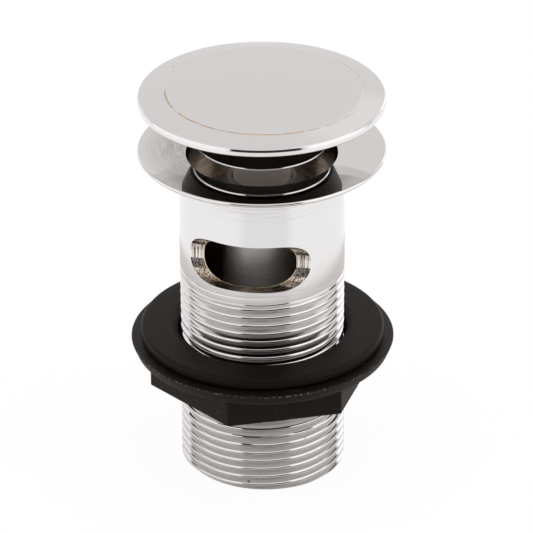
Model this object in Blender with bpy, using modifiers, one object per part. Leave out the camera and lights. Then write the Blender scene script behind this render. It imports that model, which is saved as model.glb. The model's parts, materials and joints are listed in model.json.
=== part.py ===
"""Slotted pop-up basin waste with a click-clack plug, a back nut and its washer.

Real size in metres, +Z up. The waste stands on its tail end at z = 0, with its axis on the Z axis
and the overflow slot that faces the front turned a little to the left of -Y.
Pressing the cap pushes the plunger down through an index ring, whose pins run in a zigzag track.
"""
import math

import bmesh
import bpy
from mathutils import Matrix

# Clearances
SEAT_GAP = 0.0003
SLIDE_GAP = 0.0003
STOP_GAP = 0.0004
SEAL_GAP = 0.0002

# Facets round a turned piece: one that shows, and one inside the cartridge
OUTER_STEPS = 64
INNER_STEPS = 32
ARC_STEPS = 4
WELD_DISTANCE = 0.00002

# Waste body: flange, plain wall and threaded tail in one turned piece
BODY_HEIGHT = 0.0880
BODY_RADIUS = 0.0210
BODY_WALL = 0.0025
BODY_FILLET = 0.0012
FLANGE_RADIUS = 0.0315
FLANGE_EDGE = 0.0009
FLANGE_SEAT_RADIUS = 0.0265
FLANGE_DEPTH = 0.0036
DISH_DROP = 0.0012
MOUTH_CHAMFER = 0.00075
THREAD_RADIUS = 0.020955
THREAD_LENGTH = 0.0562
TAIL_CHAMFER = 0.0008

# Overflow slots, milled straight across the wall from two opposite sides with a round-edged cutter
SLOT_ANGLE = math.radians(-12.0)
SLOT_DROP = 0.0177
SLOT_HEIGHT = 0.0127
SLOT_EDGE = 0.0057
SLOT_WIDTH = 0.0340
SLOT_FLOOR = 0.0142

# Bridge across the bore, which carries the cartridge
BRIDGE_WIDTH = 0.0070
BRIDGE_DEPTH = 0.0050
HUB_RADIUS = 0.0085
HUB_DEPTH = 0.0062
BRIDGE_ANGLE = math.radians(-12.0)

# Plug travel, from standing open to pressed home
PLUG_TRAVEL = 0.0080

# Plug: rubber seal clamped between a retaining disc and its carrier
SEAL_CONE_HEIGHT = 0.0040
SEAL_FLARE = 0.0018
SEAL_CROWN = 0.0018
SEAL_EDGE = 0.0009
SEAL_BORE_RADIUS = 0.0118
DISC_STEP = 0.0006
DISC_THICKNESS = 0.0009
CARRIER_FLANGE_RADIUS = 0.0148
CARRIER_FLANGE = 0.0012
GASKET_RADIUS = 0.0068
GASKET_THICKNESS = 0.0008

# Cap
CAP_RADIUS = 0.0313
CAP_RIM = 0.0018
CAP_SHOULDER_RADIUS = 0.0252
CAP_SHOULDER_RISE = 0.0014
CAP_CROWN_RISE = 0.0006
CAP_WALL = 0.0017
CAP_LIP = 0.0022
CAP_BOSS_RADIUS = 0.0070
CAP_BOSS_DROP = 0.0013
CAP_THREAD_DEPTH = 0.0026

# Stud that screws the cap to the plunger
STUD_RADIUS = 0.0030
STUD_DEPTH = 0.0060

# Plunger and its zigzag track
PLUNGER_RADIUS = 0.00735
PLUNGER_BORE_RADIUS = 0.0052
PLUNGER_CEILING = 0.0016
PLUNGER_GUIDE = 0.0043
TRACK_RADIUS = 0.0017
TRACK_OVERRUN = 0.0002
TRACK_LOOPS = 4
TRACK_LEG_POINTS = 6

# Index ring, its pins and the rings that hold it
RING_HEIGHT = 0.0040
PIN_RADIUS = 0.0011
PIN_REACH = 0.0009
PIN_BEVEL = 0.0004
PIN_COUNT = 2
THRUST_THICKNESS = 0.0008
CIRCLIP_THICKNESS = 0.0010
CIRCLIP_WIDTH = 0.0012
CIRCLIP_GROOVE = 0.0004
CIRCLIP_OPENING = 0.0050

# Cartridge housing, guide bush and wiper ring
HOUSING_RADIUS = 0.0100
HOUSING_WALL = 0.0010
BUSH_LIP_RADIUS = 0.0082
BUSH_RADIUS = 0.0113
BUSH_CONE = 0.0032
BUSH_COLLAR = 0.0015
BUSH_SPIGOT = 0.0055
WIPER_WIRE = 0.00145
WIPER_DROP = 0.0030

# Cartridge base, its shank through the bridge, and the nut below
BASE_FLANGE = 0.0024
BASE_SPIGOT = 0.0030
SHANK_RADIUS = 0.0040
SHANK_END = 0.0012
GUIDE_PIN_RADIUS = 0.0031
GUIDE_PIN_LENGTH = 0.0090
LOCK_WASHER_RADIUS = 0.0080
LOCK_WASHER_THICKNESS = 0.0010
LOCK_NUT_FLATS = 0.0130
LOCK_NUT_HEIGHT = 0.0060

# Return spring
SPRING_WIRE_RADIUS = 0.0006
SPRING_RADIUS = 0.0042
SPRING_TURNS = 8
SPRING_TURN_POINTS = 10

# Back nut and tail washer, at the height where they stand on the tail
NUT_SEAT_HEIGHT = 0.0348
NUT_FLANGE_RADIUS = 0.03375
NUT_FLANGE = 0.0029
NUT_FLANGE_TAPER = 0.0012
NUT_HEIGHT = 0.0118
NUT_FLATS = 0.0511
NUT_ANGLE = math.radians(-17.5)
NUT_BORE_CHAMFER = 0.0010
WASHER_RADIUS = 0.0312
WASHER_THICKNESS = 0.0030
WASHER_EDGE = 0.0009
WASHER_CHAMFER = 0.0008
WASHER_CHAMFER_WIDTH = 0.0015
WASHER_PLAY = 0.00075

# Radii that follow from those above
BORE_RADIUS = BODY_RADIUS - BODY_WALL
MOUTH_RADIUS = BORE_RADIUS + MOUTH_CHAMFER
SEAL_RADIUS = MOUTH_RADIUS - SEAL_GAP
SEAL_FOOT_RADIUS = SEAL_RADIUS - SEAL_FLARE
DISC_RADIUS = SEAL_FOOT_RADIUS - DISC_STEP
STUD_HOLE_RADIUS = STUD_RADIUS + SEAT_GAP
GUIDE_BORE_RADIUS = PLUNGER_RADIUS + SLIDE_GAP
CHAMBER_RADIUS = HOUSING_RADIUS - HOUSING_WALL
SHANK_HOLE_RADIUS = SHANK_RADIUS + SEAT_GAP
NUT_BORE_RADIUS = BODY_RADIUS + SLIDE_GAP
WASHER_BORE_RADIUS = BODY_RADIUS + WASHER_PLAY

# Heights, worked down from the flange, because the plug closes into the flange's mouth
MOUTH_HEIGHT = BODY_HEIGHT - DISH_DROP
MOUTH_DEPTH = MOUTH_CHAMFER * SEAL_CONE_HEIGHT / SEAL_FLARE
SEAL_WIDE_HEIGHT = MOUTH_HEIGHT + PLUG_TRAVEL
SEAL_FOOT_HEIGHT = SEAL_WIDE_HEIGHT - SEAL_CONE_HEIGHT
DISC_HEIGHT = SEAL_FOOT_HEIGHT - SEAT_GAP - DISC_THICKNESS
PLUNGER_TOP = DISC_HEIGHT - SEAT_GAP
BUSH_TOP = DISC_HEIGHT - PLUG_TRAVEL - STOP_GAP
BUSH_SHOULDER = BUSH_TOP - BUSH_CONE
BUSH_SEAT = BUSH_SHOULDER - BUSH_COLLAR
HOUSING_TOP = BUSH_SEAT - SEAT_GAP
CIRCLIP_HEIGHT = BUSH_SEAT - BUSH_SPIGOT - SEAT_GAP - CIRCLIP_THICKNESS
UPPER_THRUST_HEIGHT = CIRCLIP_HEIGHT - SEAT_GAP - THRUST_THICKNESS
RING_BOTTOM = UPPER_THRUST_HEIGHT - SLIDE_GAP - RING_HEIGHT
PIN_HEIGHT = RING_BOTTOM + RING_HEIGHT / 2
LOWER_THRUST_HEIGHT = RING_BOTTOM - SLIDE_GAP - THRUST_THICKNESS
LEDGE_HEIGHT = LOWER_THRUST_HEIGHT - SEAT_GAP
PLUNGER_BOTTOM = LEDGE_HEIGHT - PLUNGER_GUIDE
BASE_TOP = PLUNGER_BOTTOM - PLUG_TRAVEL - STOP_GAP
HOUSING_BOTTOM = BASE_TOP - BASE_SPIGOT
BASE_SEAT = HOUSING_BOTTOM - SEAT_GAP - BASE_FLANGE
HUB_TOP = BASE_SEAT - SEAT_GAP
HUB_BOTTOM = HUB_TOP - HUB_DEPTH
LOCK_WASHER_HEIGHT = HUB_BOTTOM - SEAT_GAP - LOCK_WASHER_THICKNESS
LOCK_NUT_BOTTOM = LOCK_WASHER_HEIGHT - SEAT_GAP - LOCK_NUT_HEIGHT
SPRING_BOTTOM = BASE_TOP + SEAT_GAP
SPRING_TOP = PLUNGER_TOP - STUD_DEPTH - SEAT_GAP - PLUNGER_CEILING - SEAT_GAP
SEAL_TOP = SEAL_WIDE_HEIGHT + SEAL_CROWN
CARRIER_BOTTOM = DISC_HEIGHT + DISC_THICKNESS + SEAT_GAP
CARRIER_SHOULDER = SEAL_TOP + SEAT_GAP
CARRIER_TOP = CARRIER_SHOULDER + CARRIER_FLANGE
GASKET_HEIGHT = CARRIER_TOP + SEAT_GAP
CAP_BOSS_BOTTOM = GASKET_HEIGHT + GASKET_THICKNESS + SEAT_GAP
CAP_RIM_BOTTOM = CAP_BOSS_BOTTOM + CAP_BOSS_DROP
SLOT_HEIGHT_MIDDLE = BODY_HEIGHT - SLOT_DROP - SLOT_HEIGHT / 2
NUT_BOTTOM = NUT_SEAT_HEIGHT - NUT_HEIGHT
WASHER_BOTTOM = NUT_SEAT_HEIGHT + SEAT_GAP

# Colour, roughness and metallic value of each finish
FINISHES = {
    "chrome": ((0.80, 0.79, 0.78), 0.06, 1.0),
    "satin_steel": ((0.50, 0.49, 0.48), 0.32, 1.0),
    "spring_steel": ((0.45, 0.45, 0.46), 0.25, 1.0),
    "brass": ((0.72, 0.55, 0.28), 0.25, 1.0),
    "black_rubber": ((0.025, 0.024, 0.023), 0.55, 0.0),
    "black_plastic": ((0.040, 0.036, 0.033), 0.42, 0.0),
    "grey_plastic": ((0.20, 0.19, 0.18), 0.45, 0.0),
    "white_acetal": ((0.75, 0.74, 0.71), 0.40, 0.0),
    "fibre": ((0.35, 0.12, 0.07), 0.80, 0.0),
}


def clear_scene():
    """Empty the scene of every object."""
    for old in list(bpy.data.objects):
        bpy.data.objects.remove(old, do_unlink=True)


def new_collection(name):
    """Add a collection to the scene."""
    collection = bpy.data.collections.new(name)
    bpy.context.scene.collection.children.link(collection)
    return collection


def finish_material(name):
    """Return the named finish as a Principled material."""
    material = bpy.data.materials.get(name)
    if material is None:
        colour, roughness, metallic = FINISHES[name]
        material = bpy.data.materials.new(name)
        material.use_nodes = True
        shader = material.node_tree.nodes["Principled BSDF"]
        shader.inputs["Base Color"].default_value = (*colour, 1.0)
        shader.inputs["Roughness"].default_value = roughness
        shader.inputs["Metallic"].default_value = metallic
    return material


clear_scene()
PARTS = new_collection("pop_up_basin_waste")
CUTTERS = new_collection("cutters")


def add_object(name, mesh, collection=PARTS):
    """Put a mesh in the scene under a name."""
    piece = bpy.data.objects.new(name, mesh)
    collection.objects.link(piece)
    return piece


def as_cutter(piece):
    """Mark a piece as a tool that only cuts or joins."""
    piece.hide_render = True
    piece.display_type = "WIRE"
    return piece


def evaluated_mesh(piece):
    """Return a new mesh of a piece with its modifiers applied."""
    bpy.context.view_layer.update()
    depsgraph = bpy.context.evaluated_depsgraph_get()
    return bpy.data.meshes.new_from_object(piece.evaluated_get(depsgraph))


def settle(piece, finish, parent):
    """Apply a piece's modifiers, shade it, colour it and hang it on its body's empty.

    The weld takes out the hair-thin edges that a cut can leave beside a facet.
    """
    weld = piece.modifiers.new("weld", "WELD")
    weld.merge_threshold = WELD_DISTANCE
    mesh = evaluated_mesh(piece)
    piece.modifiers.clear()
    piece.data = mesh
    mesh.name = piece.name
    mesh.shade_smooth()
    mesh.set_sharp_from_angle(angle=math.radians(32))
    mesh.materials.clear()
    mesh.materials.append(finish_material(finish))
    piece.parent = parent
    return piece


def arc(centre, radius, start, end, steps=ARC_STEPS):
    """Points of an arc in a profile: centre is (radius, height), angles in degrees from outwards."""
    points = []
    for step in range(steps + 1):
        angle = math.radians(start + (end - start) * step / steps)
        points.append((centre[0] + radius * math.cos(angle), centre[1] + radius * math.sin(angle)))
    return points


def turned(name, profile, steps, height=0.0, collection=PARTS):
    """Spin a profile of (radius, height) points about Z.

    The profile runs down the outer side and is closed, unless both its ends lie on the axis.
    """
    on_axis = profile[0][0] == 0 and profile[-1][0] == 0
    shape = bmesh.new()
    points = [shape.verts.new((radius, 0, level)) for radius, level in profile]
    for start, end in zip(points, points[1:]):
        shape.edges.new((start, end))
    if not on_axis:
        shape.edges.new((points[-1], points[0]))
    mesh = bpy.data.meshes.new(name)
    shape.to_mesh(mesh)
    shape.free()
    piece = add_object(name, mesh, collection)
    piece.location.z = height
    screw = piece.modifiers.new("spin", "SCREW")
    screw.axis = "Z"
    screw.angle = math.tau
    screw.screw_offset = 0.0
    screw.steps = steps
    screw.render_steps = steps
    screw.use_merge_vertices = True
    screw.merge_threshold = 0.00001
    return piece


def washer_profile(inner, outer, thickness):
    """Profile of a flat ring that lies on z = 0."""
    return [(outer, thickness), (outer, 0), (inner, 0), (inner, thickness)]


def cylinder(name, radius, bottom, top, steps, collection=CUTTERS):
    """A plain cylinder about Z between two heights."""
    shape = bmesh.new()
    bmesh.ops.create_cone(shape, cap_ends=True, segments=steps, radius1=radius, radius2=radius,
                          depth=top - bottom, matrix=Matrix.Translation((0, 0, (top + bottom) / 2)))
    mesh = bpy.data.meshes.new(name)
    shape.to_mesh(mesh)
    shape.free()
    return add_object(name, mesh, collection)


def block(name, size, centre, collection=CUTTERS):
    """A plain box of a given size about a centre."""
    shape = bmesh.new()
    scale = Matrix.Diagonal((*size, 1.0))
    bmesh.ops.create_cube(shape, size=1.0, matrix=Matrix.Translation(centre) @ scale)
    mesh = bpy.data.meshes.new(name)
    shape.to_mesh(mesh)
    shape.free()
    return add_object(name, mesh, collection)


def curve_as_mesh(curve_object, weld):
    """Turn a curve object into a closed mesh in the same place, and remove the curve."""
    mesh = evaluated_mesh(curve_object)
    shape = bmesh.new()
    shape.from_mesh(mesh)
    bmesh.ops.remove_doubles(shape, verts=shape.verts, dist=weld)
    shape.to_mesh(mesh)
    shape.free()
    name = curve_object.name
    place = curve_object.matrix_world.copy()
    collection = curve_object.users_collection[0]
    bpy.data.objects.remove(curve_object, do_unlink=True)
    piece = add_object(name, mesh, collection)
    piece.matrix_world = place
    return piece


def boolean(piece, tool, operation):
    """Cut a tool from a piece, or join it on."""
    modifier = piece.modifiers.new(tool.name, "BOOLEAN")
    modifier.operation = operation
    modifier.solver = "EXACT"
    modifier.object = as_cutter(tool)


def cut(piece, tool):
    """Cut a tool's shape out of a piece."""
    boolean(piece, tool, "DIFFERENCE")


def join(piece, tool):
    """Make a tool's shape one body with a piece."""
    boolean(piece, tool, "UNION")


def body_axis(name):
    """An empty on the axis that carries the pieces of one moving body."""
    empty = bpy.data.objects.new(name, None)
    empty.empty_display_size = BODY_RADIUS
    PARTS.objects.link(empty)
    return empty


def slot_cutter(name, angle):
    """The path of the round-edged cutter that opens one overflow slot, facing the given way round."""
    half = SLOT_HEIGHT / 2 - SLOT_EDGE
    middle = SLOT_FLOOR + SLOT_EDGE
    points = [
        *arc((middle, half), SLOT_EDGE, 90, 180, 2 * ARC_STEPS),
        *arc((middle, -half), SLOT_EDGE, 180, 270, 2 * ARC_STEPS),
        (FLANGE_RADIUS, -SLOT_HEIGHT / 2),
        (FLANGE_RADIUS, SLOT_HEIGHT / 2),
    ]
    outline = bpy.data.curves.new(name, "CURVE")
    outline.dimensions = "2D"
    outline.fill_mode = "BOTH"
    outline.extrude = SLOT_WIDTH / 2
    spline = outline.splines.new("POLY")
    spline.points.add(len(points) - 1)
    for point, (out, up) in zip(spline.points, points):
        point.co = (out, up, 0, 1)
    spline.use_cyclic_u = True
    cutter = bpy.data.objects.new(name, outline)
    CUTTERS.objects.link(cutter)
    facing = Matrix.Rotation(angle - math.pi / 2, 4, "Z") @ Matrix.Rotation(math.pi / 2, 4, "X")
    cutter.matrix_world = Matrix.Translation((0, 0, SLOT_HEIGHT_MIDDLE)) @ facing
    return curve_as_mesh(cutter, SEAT_GAP / 10)


def waste_body():
    """Flange, wall and tail, with the overflow slots and the bridge that carries the cartridge."""
    seat = BODY_HEIGHT - FLANGE_DEPTH
    profile = [
        (FLANGE_RADIUS, BODY_HEIGHT),
        (FLANGE_RADIUS, BODY_HEIGHT - FLANGE_EDGE),
        (FLANGE_SEAT_RADIUS, seat),
        *arc((BODY_RADIUS + BODY_FILLET, seat - BODY_FILLET), BODY_FILLET, 90, 180),
        (BODY_RADIUS, THREAD_LENGTH),
        (THREAD_RADIUS, THREAD_LENGTH),
        (THREAD_RADIUS, TAIL_CHAMFER),
        (THREAD_RADIUS - TAIL_CHAMFER, 0),
        (BORE_RADIUS, 0),
        (BORE_RADIUS, MOUTH_HEIGHT - MOUTH_DEPTH),
        (MOUTH_RADIUS, MOUTH_HEIGHT),
    ]
    body = turned("waste_body", profile, OUTER_STEPS)
    for name, angle in (("front_slot_cutter", SLOT_ANGLE), ("rear_slot_cutter", SLOT_ANGLE + math.pi)):
        cut(body, slot_cutter(name, angle))
    middle = (HUB_TOP + HUB_BOTTOM) / 2
    bar = block("bridge_bar", (2 * BORE_RADIUS + BODY_WALL, BRIDGE_WIDTH, BRIDGE_DEPTH), (0, 0, middle))
    bar.rotation_euler.z = BRIDGE_ANGLE
    join(body, bar)
    join(body, cylinder("bridge_hub", HUB_RADIUS, HUB_BOTTOM, HUB_TOP, INNER_STEPS))
    cut(body, cylinder("bridge_hole", SHANK_HOLE_RADIUS, 0, BODY_HEIGHT, INNER_STEPS))
    return body


def cartridge_housing():
    """Tube with a wide chamber for the index ring and a narrow bore that guides the plunger."""
    groove = CHAMBER_RADIUS + CIRCLIP_GROOVE
    groove_top = CIRCLIP_HEIGHT + CIRCLIP_THICKNESS + SEAT_GAP
    groove_bottom = CIRCLIP_HEIGHT - SEAT_GAP
    profile = [
        (HOUSING_RADIUS, HOUSING_TOP),
        (HOUSING_RADIUS, HOUSING_BOTTOM),
        (GUIDE_BORE_RADIUS, HOUSING_BOTTOM),
        (GUIDE_BORE_RADIUS, LEDGE_HEIGHT),
        (CHAMBER_RADIUS, LEDGE_HEIGHT),
        (CHAMBER_RADIUS, groove_bottom),
        (groove, groove_bottom),
        (groove, groove_top),
        (CHAMBER_RADIUS, groove_top),
        (CHAMBER_RADIUS, HOUSING_TOP),
    ]
    return turned("cartridge_housing", profile, INNER_STEPS)


def guide_bush():
    """Cone-topped gland on the housing, with a spigot inside it and a groove for the wiper."""
    spigot = CHAMBER_RADIUS - SEAT_GAP
    groove = GUIDE_BORE_RADIUS + WIPER_WIRE + SEAT_GAP
    half = WIPER_WIRE / 2 + SEAT_GAP
    wiper = BUSH_TOP - WIPER_DROP
    profile = [
        (BUSH_LIP_RADIUS, BUSH_TOP),
        (BUSH_RADIUS, BUSH_SHOULDER),
        (BUSH_RADIUS, BUSH_SEAT),
        (spigot, BUSH_SEAT),
        (spigot, BUSH_SEAT - BUSH_SPIGOT),
        (GUIDE_BORE_RADIUS, BUSH_SEAT - BUSH_SPIGOT),
        (GUIDE_BORE_RADIUS, wiper - half),
        (groove, wiper - half),
        (groove, wiper + half),
        (GUIDE_BORE_RADIUS, wiper + half),
        (GUIDE_BORE_RADIUS, BUSH_TOP),
    ]
    return turned("guide_bush", profile, INNER_STEPS)


def wiper_ring():
    """O-ring in the guide bush that wipes the plunger."""
    wire = WIPER_WIRE / 2
    circle = arc((GUIDE_BORE_RADIUS + wire, 0), wire, 90, -270, 2 * ARC_STEPS)[:-1]
    return turned("wiper_ring", circle, INNER_STEPS, BUSH_TOP - WIPER_DROP)


def ring_circlip():
    """Internal circlip above the index ring, sprung into the housing's groove."""
    outer = CHAMBER_RADIUS + CIRCLIP_GROOVE - SEAT_GAP
    clip = turned("ring_circlip", washer_profile(outer - CIRCLIP_WIDTH, outer, CIRCLIP_THICKNESS),
                  INNER_STEPS, CIRCLIP_HEIGHT)
    middle = CIRCLIP_HEIGHT + CIRCLIP_THICKNESS / 2
    size = (2 * HOUSING_RADIUS, CIRCLIP_OPENING, 2 * CIRCLIP_THICKNESS)
    cut(clip, block("circlip_opening", size, (HOUSING_RADIUS, 0, middle)))
    return clip


def thrust_washer(name, height):
    """Thin ring that the index ring turns against."""
    outer = CHAMBER_RADIUS - SEAT_GAP
    return turned(name, washer_profile(GUIDE_BORE_RADIUS, outer, THRUST_THICKNESS), INNER_STEPS, height)


def pin_cylinder(name, number, radius, inner, outer, collection):
    """A radial cylinder for one of the index ring's pins, standing between two radii."""
    pin = cylinder(name, radius, inner, outer, INNER_STEPS // 2, collection)
    turn = Matrix.Rotation(math.tau * number / PIN_COUNT, 4, "Z")
    pin.matrix_world = Matrix.Translation((0, 0, PIN_HEIGHT)) @ turn @ Matrix.Rotation(math.pi / 2, 4, "Y")
    return pin


def index_ring():
    """Ring that turns as its pins follow the plunger's track."""
    outer = CHAMBER_RADIUS - SLIDE_GAP
    ring = turned("index_ring", washer_profile(GUIDE_BORE_RADIUS, outer, RING_HEIGHT), INNER_STEPS, RING_BOTTOM)
    for number in range(PIN_COUNT):
        cut(ring, pin_cylinder(f"pin_hole_{number + 1}", number, PIN_RADIUS + SEAT_GAP,
                               PLUNGER_RADIUS / 2, HOUSING_RADIUS, CUTTERS))
    return ring


def index_pin(number):
    """One of the index ring's dowel pins, which reach into the track."""
    outer = CHAMBER_RADIUS - 2 * SLIDE_GAP
    pin = pin_cylinder(f"index_pin_{number + 1}", number, PIN_RADIUS, PLUNGER_RADIUS - PIN_REACH, outer, PARTS)
    bevel = pin.modifiers.new("rounded ends", "BEVEL")
    bevel.width = PIN_BEVEL
    bevel.segments = 1
    return pin


def track_cutter():
    """Round-bottomed zigzag groove, closed round the plunger, starting at the first pin."""
    rise = PLUG_TRAVEL + 2 * TRACK_OVERRUN
    legs = 2 * TRACK_LOOPS
    total = legs * TRACK_LEG_POINTS
    path = bpy.data.curves.new("track_cutter", "CURVE")
    path.dimensions = "3D"
    path.bevel_depth = TRACK_RADIUS
    path.bevel_resolution = 3
    path.twist_mode = "Z_UP"
    spline = path.splines.new("POLY")
    spline.points.add(total - 1)
    for number, point in enumerate(spline.points):
        leg, step = divmod(number, TRACK_LEG_POINTS)
        share = step / TRACK_LEG_POINTS
        level = share if leg % 2 == 0 else 1 - share
        angle = math.tau * number / total
        point.co = (PLUNGER_RADIUS * math.cos(angle), PLUNGER_RADIUS * math.sin(angle),
                    PIN_HEIGHT - TRACK_OVERRUN + rise * level, 1)
    spline.use_cyclic_u = True
    cutter = bpy.data.objects.new("track_cutter", path)
    CUTTERS.objects.link(cutter)
    return curve_as_mesh(cutter, SEAT_GAP / 100)


def plunger():
    """Hollow push rod: tapped at the top for the stud, bored below for the spring, with the track."""
    stud_floor = PLUNGER_TOP - STUD_DEPTH - SEAT_GAP
    ceiling = stud_floor - PLUNGER_CEILING
    profile = [
        (0, stud_floor),
        (STUD_HOLE_RADIUS, stud_floor),
        (STUD_HOLE_RADIUS, PLUNGER_TOP),
        (PLUNGER_RADIUS, PLUNGER_TOP),
        (PLUNGER_RADIUS, PLUNGER_BOTTOM),
        (PLUNGER_BORE_RADIUS, PLUNGER_BOTTOM),
        (PLUNGER_BORE_RADIUS, ceiling),
        (0, ceiling),
    ]
    rod = turned("plunger", profile, INNER_STEPS)
    cut(rod, track_cutter())
    rod.modifiers[-1].use_self = True
    return rod


def return_spring():
    """Compression spring inside the plunger, standing on the cartridge base."""
    bottom = SPRING_BOTTOM + SPRING_WIRE_RADIUS
    top = SPRING_TOP - SPRING_WIRE_RADIUS
    count = SPRING_TURNS * SPRING_TURN_POINTS + 1
    wire = bpy.data.curves.new("return_spring", "CURVE")
    wire.dimensions = "3D"
    wire.bevel_depth = SPRING_WIRE_RADIUS
    wire.bevel_resolution = 1
    wire.use_fill_caps = True
    spline = wire.splines.new("POLY")
    spline.points.add(count - 1)
    for number, point in enumerate(spline.points):
        share = number / (count - 1)
        angle = math.tau * SPRING_TURNS * share
        point.co = (SPRING_RADIUS * math.cos(angle), SPRING_RADIUS * math.sin(angle),
                    bottom + (top - bottom) * share, 1)
    spring = bpy.data.objects.new("return_spring", wire)
    PARTS.objects.link(spring)
    return curve_as_mesh(spring, SPRING_WIRE_RADIUS / 100)


def cartridge_base():
    """Plug under the housing, with a pin that steadies the spring and a shank through the bridge."""
    spigot = GUIDE_BORE_RADIUS - SEAT_GAP
    pin_top = BASE_TOP + GUIDE_PIN_LENGTH
    chamfer = GUIDE_PIN_RADIUS / 4
    profile = [
        (0, pin_top),
        (GUIDE_PIN_RADIUS - chamfer, pin_top),
        (GUIDE_PIN_RADIUS, pin_top - chamfer),
        (GUIDE_PIN_RADIUS, BASE_TOP),
        (spigot, BASE_TOP),
        (spigot, BASE_SEAT + BASE_FLANGE),
        (HOUSING_RADIUS, BASE_SEAT + BASE_FLANGE),
        (HOUSING_RADIUS, BASE_SEAT),
        (SHANK_RADIUS, BASE_SEAT),
        (SHANK_RADIUS, LOCK_NUT_BOTTOM - SHANK_END + chamfer),
        (SHANK_RADIUS - chamfer, LOCK_NUT_BOTTOM - SHANK_END),
        (0, LOCK_NUT_BOTTOM - SHANK_END),
    ]
    return turned("cartridge_base", profile, INNER_STEPS)


def lock_washer():
    """Washer between the bridge's hub and the lock nut."""
    profile = washer_profile(SHANK_HOLE_RADIUS, LOCK_WASHER_RADIUS, LOCK_WASHER_THICKNESS)
    return turned("lock_washer", profile, INNER_STEPS, LOCK_WASHER_HEIGHT)


def hexagon(name, flats, bottom, top, collection):
    """Six-sided prism about Z with one corner on +X."""
    return cylinder(name, flats / 2 / math.cos(math.pi / 6), bottom, top, 6, collection)


def lock_nut():
    """Hexagon nut that holds the cartridge down on the bridge, its corners turned off."""
    nut = hexagon("lock_nut", LOCK_NUT_FLATS, 0, LOCK_NUT_HEIGHT, PARTS)
    nut.location.z = LOCK_NUT_BOTTOM
    corner = LOCK_NUT_FLATS / 2 / math.cos(math.pi / 6)
    flat = LOCK_NUT_FLATS / 2
    turn_off = (corner - flat) / 2
    keep = [
        (flat, LOCK_NUT_HEIGHT), (corner, LOCK_NUT_HEIGHT - turn_off), (corner, turn_off), (flat, 0),
        (SHANK_HOLE_RADIUS, 0), (SHANK_HOLE_RADIUS, LOCK_NUT_HEIGHT),
    ]
    boolean(nut, turned("lock_nut_turning", keep, INNER_STEPS, LOCK_NUT_BOTTOM, CUTTERS), "INTERSECT")
    return nut


def retaining_disc():
    """Chromed disc that clamps the seal from below."""
    profile = washer_profile(STUD_HOLE_RADIUS, DISC_RADIUS, DISC_THICKNESS)
    return turned("retaining_disc", profile, OUTER_STEPS, DISC_HEIGHT)


def plug_seal():
    """Rubber ring whose cone closes into the flange's mouth."""
    edge = (SEAL_RADIUS - SEAL_EDGE, SEAL_WIDE_HEIGHT)
    profile = [
        (SEAL_BORE_RADIUS, SEAL_TOP),
        (SEAL_RADIUS - 2 * SEAL_EDGE, SEAL_TOP),
        *arc(edge, SEAL_EDGE, 75, 0),
        (SEAL_FOOT_RADIUS, SEAL_FOOT_HEIGHT),
        (SEAL_BORE_RADIUS, SEAL_FOOT_HEIGHT),
    ]
    return turned("plug_seal", profile, OUTER_STEPS)


def seal_carrier():
    """Core of the plug: its boss fills the seal's bore and its flange lies on the seal."""
    boss = SEAL_BORE_RADIUS - SEAT_GAP
    profile = [
        (CARRIER_FLANGE_RADIUS, CARRIER_TOP),
        (CARRIER_FLANGE_RADIUS, CARRIER_SHOULDER),
        (boss, CARRIER_SHOULDER),
        (boss, CARRIER_BOTTOM),
        (STUD_HOLE_RADIUS, CARRIER_BOTTOM),
        (STUD_HOLE_RADIUS, CARRIER_TOP),
    ]
    return turned("seal_carrier", profile, INNER_STEPS)


def cap_gasket():
    """Thin gasket between the carrier and the cap's boss."""
    profile = washer_profile(STUD_HOLE_RADIUS, GASKET_RADIUS, GASKET_THICKNESS)
    return turned("cap_gasket", profile, INNER_STEPS, GASKET_HEIGHT)


def cap():
    """Round cap, flat in the middle, sloping from a soft shoulder to its rim and hollow below."""
    rim_top = CAP_RIM_BOTTOM + CAP_RIM
    shoulder = rim_top + CAP_SHOULDER_RISE
    crown = shoulder + CAP_CROWN_RISE
    edge = CAP_RIM / 3
    hollow_radius = CAP_RADIUS - CAP_LIP
    thread_top = CAP_BOSS_BOTTOM + CAP_THREAD_DEPTH
    profile = [
        (0, crown),
        (CAP_SHOULDER_RADIUS / 2, crown - CAP_CROWN_RISE / 4),
        (CAP_SHOULDER_RADIUS, shoulder),
        (CAP_RADIUS - edge, rim_top),
        (CAP_RADIUS, rim_top - edge),
        (CAP_RADIUS, CAP_RIM_BOTTOM),
        (hollow_radius, CAP_RIM_BOTTOM),
        (CAP_SHOULDER_RADIUS, shoulder - CAP_WALL),
        (CAP_BOSS_RADIUS, crown - CAP_WALL),
        (CAP_BOSS_RADIUS, CAP_BOSS_BOTTOM),
        (STUD_HOLE_RADIUS, CAP_BOSS_BOTTOM),
        (STUD_HOLE_RADIUS, thread_top),
        (0, thread_top),
    ]
    return turned("cap", profile, OUTER_STEPS)


def cap_stud():
    """Stud that runs from the plunger's tapped top through the plug into the cap."""
    bottom = PLUNGER_TOP - STUD_DEPTH
    top = CAP_BOSS_BOTTOM + CAP_THREAD_DEPTH - SEAT_GAP
    return cylinder("cap_stud", STUD_RADIUS, bottom, top, INNER_STEPS // 2, PARTS)


def tail_washer():
    """Rubber washer that seals against the underside of the basin."""
    half = WASHER_THICKNESS / 2
    rounded = min(WASHER_EDGE, half)
    profile = [
        (WASHER_BORE_RADIUS + WASHER_CHAMFER_WIDTH, WASHER_THICKNESS),
        *arc((WASHER_RADIUS - rounded, WASHER_THICKNESS - rounded), rounded, 90, 0, ARC_STEPS - 1),
        *arc((WASHER_RADIUS - rounded, rounded), rounded, 0, -90, ARC_STEPS - 1),
        (WASHER_BORE_RADIUS, 0),
        (WASHER_BORE_RADIUS, WASHER_THICKNESS - WASHER_CHAMFER),
    ]
    return turned("tail_washer", profile, OUTER_STEPS, WASHER_BOTTOM)


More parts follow.
